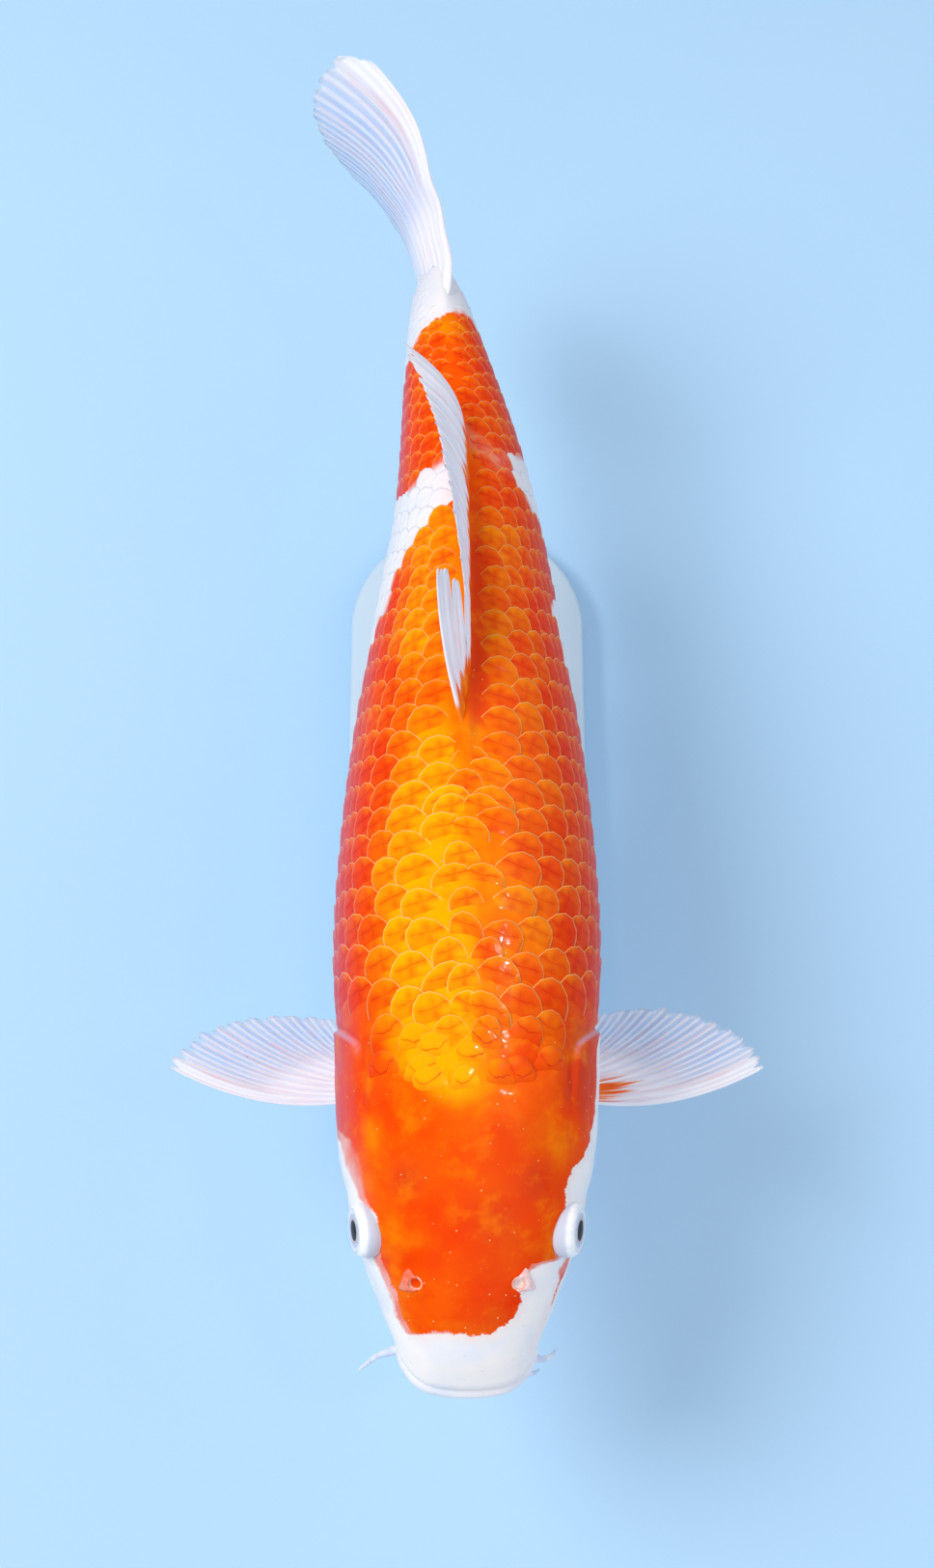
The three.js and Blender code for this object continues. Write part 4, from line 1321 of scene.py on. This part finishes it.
def dorsal_flame(s, r):
    """The dorsal fin's foot is orange, in flames that reach up between the rays."""
    reach = mix(12, 6.5, smooth(s, 0.06, 0.16)) + 4 * bell(s, 0.13, 0.03) + 4.5 * bell(s, 0.32, 0.12)
    return reach + 3 * bell(s, 0.72, 0.16) - r * dorsal_length(s)


def pectoral_flame(s, r):
    """One orange fleck near the front edge of the left-hand fin, close to its root."""
    larger = 4.6 - np.hypot((r - 0.2) * 34, (s - 0.25) * 38)
    return np.maximum(larger, 2.2 - np.hypot((r - 0.19) * 36, (s - 0.1) * 60))


def dorsal_milk(s, r):
    return 0.95 - 0.25 * smooth(r, 0.6, 1)


def pectoral_milk(s, r):
    front = fall(s, 0.06, 0.24)
    return np.maximum(0.9 * front, fall(r + 0.25 * s, 0.42, 0.92))


def tail_milk(s, r):
    edge = np.minimum(s, 1 - s)
    return np.maximum(0.95 * fall(edge, 0.03, 0.13), fall(r, 0.3, 0.72))


def ray_lines(f, phase, forks):
    """1 along each ray, or along each of the branches that it forks into."""
    return f.size_of(f.worked("COSINE", f.times(phase, forks * math.pi)))


def fin_finish():
    f = Finish(
        "clear_fin_white_rays", Roughness=0.36, Specular_IOR_Level=0.15, Coat_Weight=0.1, Coat_Roughness=0.12,
        Subsurface_Weight=0.5, Subsurface_Scale=0.002, Subsurface_Radius=(1.0, 0.85, 0.85),
    )
    phase, way, place = f.laid_out("FinMap")
    forked = f.step(way, 0.35, 0.65)
    whole_rays = f.times(ray_lines(f, phase, 1), f.less(1.0, forked))
    branches = f.times(ray_lines(f, phase, 2), forked)
    hairs = f.times(ray_lines(f, phase, 4), f.step(way, 0.3, 0.6), 0.3)
    ray = f.add(f.times(f.step(f.add(whole_rays, branches), 0.3, 0.9), 0.75), hairs)
    milky = f.carried("milky")
    grain, fine, licks = (
        f.grain(stretch, place=place) for stretch in ((1.3, 3.0, 1.0), (7.0, 2.0, 1.0), (2.6, 0.7, 1.0))
    )
    # Painted light: the clear membrane is painted pale blue, the floor's blue seen through it.
    clear = f.over(paint(172, 198, 240), paint(200, 216, 246), f.step(grain, 0.35, 0.65))
    clear = f.over(clear, paint(240, 240, 250), ray, 0.7)
    milk = f.over(paint(236, 232, 242), paint(253, 248, 250), ray, 0.6)
    colour = f.over(clear, milk, milky)
    rosy = f.times(f.step(f.add(fine, f.times(grain, 0.4)), 0.72, 0.86), f.step(way, 0.08, 0.2))
    colour = f.over(colour, paint(240, 166, 156), rosy, 0.4)
    blush = f.times(f.step(grain, 0.52, 0.72), f.step(way, 0.35, 0.85), milky)
    colour = f.over(colour, paint(246, 186, 190), blush, 0.22)
    away, pick = f.cells(240)
    fleck = f.times(f.fall(away, 0.05, 0.1), f.step(pick, 0.9, 0.93))
    colour = f.over(colour, paint(90, 88, 120), fleck, 0.5)
    shift = f.times(f.less(licks, 0.5), 22.0)
    flame = f.step(f.add(f.carried("orange_foot"), shift), -1.8, 1.4)
    flame_paint = f.over(paint(255, 134, 10), paint(250, 88, 6), f.step(grain, 0.4, 0.6))
    f.to_shader("Base Color", f.over(colour, flame_paint, flame))
    f.to_shader("Alpha", f.step(f.larger(f.times(ray, 0.6), milky, flame), 0.0, 1.0, 0.5, 1.0))
    f.relief(f.add(f.times(ray, 0.45), f.times(fine, 0.3)), 0.00016)
    return f.material


def build_fins():
    """The seven fins, which share one finish."""
    clear = fin_finish()
    dorsal = build_fin(
        "dorsal_fin_rays", dorsal_place, DORSAL["rays"], 34, 2.6, 21, notch=0.1, pleat=0.16, branch=0.6,
        splits=DORSAL_SPLITS, flame=dorsal_flame, milky=dorsal_milk,
    )
    show_as(dorsal, clear, ("dorsal_fin",))
    anal = build_fin("anal_fin_rays", anal_place, ANAL["rays"], 26, 2.6, 22, notch=0.08)
    show_as(anal, clear, ("anal_fin",))
    for side, word in SIDE_NAMES.items():
        pectoral = build_fin(
            "pectoral_fin_rays_" + word, pectoral_place(side), PECTORAL["rays"], 34, 4.0, 23 + side,
            per_ray=12, flame=pectoral_flame if side > 0 else None, milky=pectoral_milk,
        )
        show_as(pectoral, clear, ("pectoral_fin_" + word,))
        pelvic = build_fin(
            "pelvic_fin_rays_" + word, pelvic_place(side), PELVIC["rays"], 24, 3.0, 31 + side, notch=0.06
        )
        show_as(pelvic, clear, ("pelvic_fin_" + word,))
    tail = build_fin(
        "tail_fin_rays", tail_place, TAIL_FIN["rays"], 44, 6.0, 41, notch=0.022, pleat=0.14, milky=tail_milk
    )
    show_as(tail, clear, ("tail_fin_upper_lobe", "tail_fin_lower_lobe"))


# ---------------------------------------------------------------- eyes, nostrils and feelers

EYEBALL_PROFILE = (
    (0, 4.9), (1.6, 4.87), (2.9, 4.8), (3.3, 4.72), (4.4, 4.66), (5.8, 4.6), (6.4, 4.58), (6.9, 4.45),
    (7.5, 4.1), (8.2, 3.2), (8.7, 1.8), (8.85, 0.2), (8.5, -1.5), (7.3, -3.5), (5.0, -5.3), (2.5, -6.1),
    (0, -6.4),
)
CORNEA_PROFILE = (
    (0, 7.3), (1.4, 7.24), (2.8, 7.02), (4.2, 6.58), (5.3, 6.02), (6.2, 5.3), (6.8, 4.75), (6.6, 4.65),
    (4.4, 4.85), (2.0, 5.02), (0, 5.08),
)
EYE_BACK_RING = 8.6


def turned(profile, name, steps=48):
    """A profile of (radius, height) turned about an upright axis into a closed piece."""
    bm = bmesh.new()
    verts = [bm.verts.new((radius, 0, height)) for radius, height in profile]
    edges = [bm.edges.new(pair) for pair in zip(verts, verts[1:])]
    bmesh.ops.spin(
        bm, geom=verts + edges, cent=(0, 0, 0), axis=(0, 0, 1), angle=2 * math.pi, steps=steps,
        use_merge=True,
    )
    bmesh.ops.remove_doubles(bm, verts=bm.verts, dist=1e-5)
    bmesh.ops.recalc_face_normals(bm, faces=bm.faces)
    return finished(bm, name)


def set_in_eye(piece, side):
    """Moves a turned piece into its eye, its own upright axis along the way the eye looks."""
    centre, axis, back, up = eye_frame(side)
    local = coordinates(piece.data)
    set_places(piece, centre + local[:, 2:3] * axis + local[:, :1] * back + local[:, 1:2] * up)
    turn_outwards(piece)
    return local


def eye_finish():
    """Pupil, iris and white, by the distance in mm from the eye's axis."""
    f = Finish(
        "eye_white_and_pupil", Roughness=0.4, Specular_IOR_Level=0.03, Coat_Weight=0.02, Coat_Roughness=0.05
    )
    ring = f.carried("ring")
    white = f.over(paint(255, 254, 253), paint(244, 245, 251), f.step(f.noise(420, 3), 0.4, 0.7))
    iris = f.over(paint(186, 206, 236), paint(226, 224, 232), f.step(f.noise(1500, 3), 0.35, 0.65))
    iris = f.over(iris, paint(214, 176, 154), f.fall(ring, 3.3, 4.3))
    colour = f.over(iris, white, f.step(ring, 5.0, 5.7))
    colour = f.over(colour, paint(206, 212, 228), f.step(ring, 8.2, 8.8))
    f.to_shader("Base Color", f.over(colour, paint(6, 6, 9), f.fall(ring, 3.05, 3.3)))
    f.relief(f.noise(900, 2), 0.00006)
    return f.material


def cornea_finish():
    f = Finish(
        "clear_cornea", Roughness=0.02, IOR=1.01, Transmission_Weight=1.0, Coat_Weight=0.16,
        Coat_Roughness=0.02, Coat_IOR=1.33,
    )
    f.to_shader("Base Color", f.over(paint(250, 252, 255), paint(255, 255, 255), f.noise(200, 1)))
    return f.material


def build_eyes():
    white, clear = eye_finish(), cornea_finish()
    for side, word in SIDE_NAMES.items():
        ball = turned(EYEBALL_PROFILE, "eyeball_" + word)
        local = set_in_eye(ball, side)
        from_axis = np.hypot(local[:, 0], local[:, 1])
        carry(ball.data, "ring", np.where(local[:, 2] > 0, from_axis, EYE_BACK_RING))
        show_as(ball, white, ("eye_" + word,))
        cornea = turned(CORNEA_PROFILE, "cornea_" + word)
        set_in_eye(cornea, side)
        show_as(cornea, clear)


BARBELS = {
    "long_left": ((15, 14.2, -11), (20.5, 12.3, -14), (24, 11.6, -16), (27, 12.7, -18.5), (28.8, 14.9, -20)),
    "long_right": (
        (-15.5, 16.4, -11), (-24.3, 14, -15), (-28.5, 12.9, -18.5), (-32, 10.8, -22), (-35.2, 8.6, -25),
    ),
    "short_left": ((13, 8.3, -9), (19.3, 7, -12.5), (22, 7.6, -17), (23.4, 8.9, -21.5)),
    "short_right": ((-12.5, 7.8, -8.5), (-18.4, 6.4, -12.5), (-19.8, 7, -16.5), (-19.2, 8.6, -20.5)),
}
BARBEL_ROOT_AND_TIP = {"long": (2.0, 0.4), "short": (1.2, 0.35)}


def strand(name, points, root_mm, tip_mm, around=16, rings=28):
    """A tapering feeler along a smooth curve, round at both ends."""
    bm = bmesh.new()
    bmesh.ops.create_uvsphere(bm, u_segments=around, v_segments=rings, radius=1.0)
    piece = finished(bm, name)
    ball = coordinates(piece.data)
    p = np.array(points, float)
    knots = np.linspace(0, 1, len(p))

    def centre(k):
        return np.stack([smooth_along(np.stack([knots, p[:, i]], -1), k) for i in range(3)], -1)

    k = np.arccos(np.clip(-ball[:, 2], -1, 1)) / math.pi
    way = centre(np.minimum(k + 0.01, 1)) - centre(np.maximum(k - 0.01, 0))
    way = way / np.linalg.norm(way, axis=1)[:, None]
    across = np.cross(way, [0.0, 0.0, 1.0])
    across = across / np.linalg.norm(across, axis=1)[:, None]
    up = np.cross(across, way)
    radius = mix(root_mm, tip_mm, k**0.8) * np.sqrt(np.clip(1 - np.abs(2 * k - 1) ** 14, 0, 1))
    turn = np.arctan2(ball[:, 1], ball[:, 0])
    offset = across * np.cos(turn)[:, None] + up * np.sin(turn)[:, None]
    set_places(piece, centre(k) + offset * radius[:, None])
    turn_outwards(piece)
    return piece


def bare_skin_finish(name, tints, mottle, pores, **shader_values):
    """Smooth wet skin without scales, mottled in two tints."""
    f = Finish(name, Coat_Weight=0.3, **shader_values)
    f.to_shader("Base Color", f.blend(f.step(f.noise(mottle, 3), 0.35, 0.65), *tints))
    f.relief(f.noise(pores, 2), 0.0001)
    return f.material


def build_barbels():
    tints = paint(238, 236, 244), paint(206, 216, 240)
    pale_skin = bare_skin_finish("pale_feeler_skin", tints, 350, 1500, Roughness=0.35, Coat_Roughness=0.12)
    for word, points in BARBELS.items():
        length, _ = word.split("_")
        piece = strand("feeler_" + word, points, *BARBEL_ROOT_AND_TIP[length])
        show_as(piece, pale_skin, ("barbel_" + word,))


NOSTRIL_RING = ((1.75, -0.8), (1.8, 0.2), (2.0, 0.5), (2.25, 0.45), (2.4, 0.1), (2.5, -0.8), (1.75, -0.8))
LEAF_OUTWARDS = ((0, 2.6), (0.2, 3.6), (0.6, 6.2), (1, 0.4))
LEAF_REARWARDS = ((0, -4.6), (0.2, -3.4), (0.6, 3.7), (1, 2.9))


def nostril_finish(name, *tints):
    wet = {"Roughness": 0.34, "Specular_IOR_Level": 0.2, "Coat_Roughness": 0.1}
    return bare_skin_finish(name, tints, 500, 1200, **wet)


def build_nostrils():
    """A low ring round each nostril, and the leaf of skin that slopes from it to the outside and front."""
    leaf_skin = {
        1: nostril_finish("pale_nostril_skin", paint(250, 222, 222), paint(248, 188, 182)),
        -1: nostril_finish("rosy_nostril_skin", paint(246, 104, 66), paint(248, 140, 112)),
    }
    rim_skin = nostril_finish("nostril_rim_skin", paint(252, 176, 150), paint(250, 206, 190))
    for side, word in SIDE_NAMES.items():
        centre, out = nostril_place(side)
        outside = np.array([side, 0.0, 0.0]) - out * out[0] * side
        outside = outside / np.linalg.norm(outside)
        front = np.cross(out, outside) * side
        front = front if front[1] < 0 else -front
        ring = turned(NOSTRIL_RING, "nostril_ring_" + word, 32)
        local = coordinates(ring.data)
        lifted = local[:, 2:3] + 0.14 * local[:, :1] * (local[:, 2:3] > -0.5)
        set_places(ring, centre + local[:, :1] * outside + local[:, 1:2] * front + lifted * out)
        turn_outwards(ring)
        show_as(ring, rim_skin)

        def leaf_place(s, r):
            turn = mix(-1.9, 1.9, s)
            inner = np.stack([2.1 * np.cos(turn), 2.1 * np.sin(turn)], -1)
            outer = np.stack([along(LEAF_OUTWARDS, s), along(LEAF_REARWARDS, s)], -1)
            flat = mix(inner, outer, r[:, None])
            height = mix(0.9, -0.5, r**1.6) * (1 - 0.5 * np.abs(2 * s - 1) ** 3) + 0.5 * bow(r) * bow(s)
            return centre + flat[:, :1] * outside + flat[:, 1:] * front + out * height[:, None]

        leaf = build_fin(
            "nostril_leaf_" + word, leaf_place, 2, 12, 0.8, 5, notch=0.0, pleat=0.0, per_ray=12
        )
        show_as(leaf, leaf_skin[side])


# ---------------------------------------------------------------- display stand

BASE = {"width": 96.0, "length": 270.0, "thickness": 12.0, "bevel": 2.0}
RODS = {"front": 150.0, "rear": 272.0}


ROD_RADIUS = 4.0
ROD_FOOT = ((8.6, 0), (9.0, 0.5), (8.2, 1.4), (6.2, 3.6), (4.8, 6.2), (4.1, 9), (ROD_RADIUS, 12))
ROD_GAP = 0.3
ROD_INTO_BODY = 2.0


def base_plate():
    """The flat plate with round ends and a soft rim."""
    bm = bmesh.new()
    half_width_m, half_length_m = BASE["width"] / 2000, BASE["length"] / 2000
    bmesh.ops.create_circle(bm, cap_ends=True, segments=96, radius=half_width_m)
    for v in bm.verts:
        v.co.y += math.copysign(half_length_m - half_width_m, v.co.y) if abs(v.co.y) > 1e-6 else 0.0
    made = bmesh.ops.extrude_face_region(bm, geom=bm.faces[:], use_keep_orig=True)
    top = [v for v in made["geom"] if isinstance(v, bmesh.types.BMVert)]
    bmesh.ops.translate(bm, vec=(0, 0, BASE["thickness"] / 1000), verts=top)
    bmesh.ops.recalc_face_normals(bm, faces=bm.faces)
    rims = [e for e in bm.edges if abs(e.verts[0].co.z - e.verts[1].co.z) < 1e-6]
    bmesh.ops.bevel(
        bm, geom=rims, offset=BASE["bevel"] / 1000, affect="EDGES", segments=4, profile=0.5, material=-1
    )
    return finished(bm, "stand_base_plate")


def stand_rod(word, t):
    """A rod with a flared foot, from the base plate up into the body."""
    foot, head = BASE["thickness"] + ROD_GAP, AXIS_HEIGHT + float(keel(t)) + ROD_INTO_BODY
    side = [(radius, foot + rise) for radius, rise in ROD_FOOT]
    profile = [(0, foot), *side, (ROD_RADIUS, head), (0, head)]
    rod = turned([(a / 1000, b / 1000) for a, b in profile], "stand_rod_" + word + "_steel", 40)
    rod.data.transform(Matrix.Translation((0, (t - STAND_T) / 1000, 0)))
    return rod


def build_stand():
    f = Finish("satin_stand_paint", Roughness=0.45)
    f.to_shader("Base Color", f.over(paint(196, 216, 232), paint(204, 222, 236), f.noise(18, 3)))
    f.relief(f.noise(900, 3), 0.00004)
    show_as(base_plate(), f.material, ("stand_base",))
    f = Finish("brushed_rod_steel", Metallic=1.0, Roughness=0.3)
    lines = f.grain((60, 60, 4000))
    f.to_shader("Base Color", f.over(paint(176, 180, 186), paint(206, 209, 214), lines))
    f.to_shader("Roughness", f.step(lines, 0.3, 0.7, 0.24, 0.4))
    for word, t in RODS.items():
        show_as(stand_rod(word, t), f.material, ("stand_rod_" + word,))


# ---------------------------------------------------------------- stage: floor, light and camera

TARGET = (0.0, -0.021143, 0.128)
CAMERA_PLACE = (0.0, -0.249041, 0.789863)
CAMERA_LENS = 46.847


def aim(piece, place, target):
    piece.location = place
    piece.rotation_euler = (Vector(target) - Vector(place)).to_track_quat("-Z", "Y").to_euler()


def build_camera():
    camera = bpy.data.objects.new("camera", bpy.data.cameras.new("camera"))
    bpy.context.collection.objects.link(camera)
    aim(camera, CAMERA_PLACE, TARGET)
    camera.data.lens = CAMERA_LENS
    camera.data.sensor_width = 36
    camera.data.clip_start = 0.01
    bpy.context.scene.camera = camera


FLOOR_RADIUS = 2.2
FLOOR_CURL = ((0.5, 0.03), (0.6, 0.16), (0.5, 0.5))


def build_floor():
    """A wide pale floor that curls up softly at its far rim."""
    bm = bmesh.new()
    bmesh.ops.create_circle(bm, cap_ends=True, segments=96, radius=FLOOR_RADIUS)
    for grow, rise in FLOOR_CURL:
        made = bmesh.ops.extrude_edge_only(bm, edges=[e for e in bm.edges if e.is_boundary])
        for v in (v for v in made["geom"] if isinstance(v, bmesh.types.BMVert)):
            v.co += Vector((v.co.x, v.co.y, 0)).normalized() * grow + Vector((0, 0, rise))
    bmesh.ops.recalc_face_normals(bm, faces=bm.faces)
    floor = finished(bm, "floor")
    f = Finish("pale_blue_floor", Roughness=0.75)
    f.to_shader("Base Color", f.over(paint(176, 214, 245), paint(184, 219, 247), f.noise(3, 2)))
    f.relief(f.noise(300, 2), 0.0001)
    floor.data.materials.append(f.material)


def soft_light(name, place, target, size, watts, colour):
    light = bpy.data.lights.new(name, "AREA")
    light.shape = "DISK"
    light.size = size
    light.energy = watts
    light.color = colour
    lamp = bpy.data.objects.new(name, light)
    bpy.context.collection.objects.link(lamp)
    aim(lamp, place, target)
    return lamp


def build_light():
    """Soft light from three sides. The key shows in no gloss, and the small sparkle only in gloss."""
    world = bpy.data.worlds.new("pale_room")
    world.use_nodes = True
    room = world.node_tree.nodes["Background"].inputs
    room["Color"].default_value = (0.86, 0.92, 1.0, 1.0)
    room["Strength"].default_value = 0.5
    bpy.context.scene.world = world
    bpy.context.scene.view_settings.view_transform = "Standard"
    key = soft_light("key", (-0.72, 0.1, 1.2), (0, 0, 0.12), 0.7, 11.4, (1.0, 0.985, 0.96))
    key.visible_glossy = False
    soft_light("front_fill", (0.15, -1.15, 0.75), (0, -0.1, 0.12), 1.6, 4.1, (1.0, 0.98, 0.98))
    soft_light("right_fill", (0.95, 0.25, 0.75), (0, 0.02, 0.12), 1.2, 3.2, (0.98, 0.98, 1.0))
    sparkle = soft_light("sparkle", (0.5, -0.26, 1.3), (0, 0, 0.15), 0.035, 8.0, (1.0, 1.0, 1.0))
    sparkle.visible_diffuse = False


# ---------------------------------------------------------------- the fish, put together

HEAD_AND_TRUNK = (
    "head", "upper_lip", "lower_jaw", "throat", "gill_cover_left", "gill_cover_right", "trunk_front",
    "trunk_rear", "tail_stem",
)

show_as(build_skin(), skin_finish(), HEAD_AND_TRUNK)
scale_paint = scale_finish()
for scales in build_scales():
    show_as(scales, scale_paint)
build_fins()
build_eyes()
build_barbels()
build_nostrils()
build_stand()

build_camera()
build_light()
build_floor()
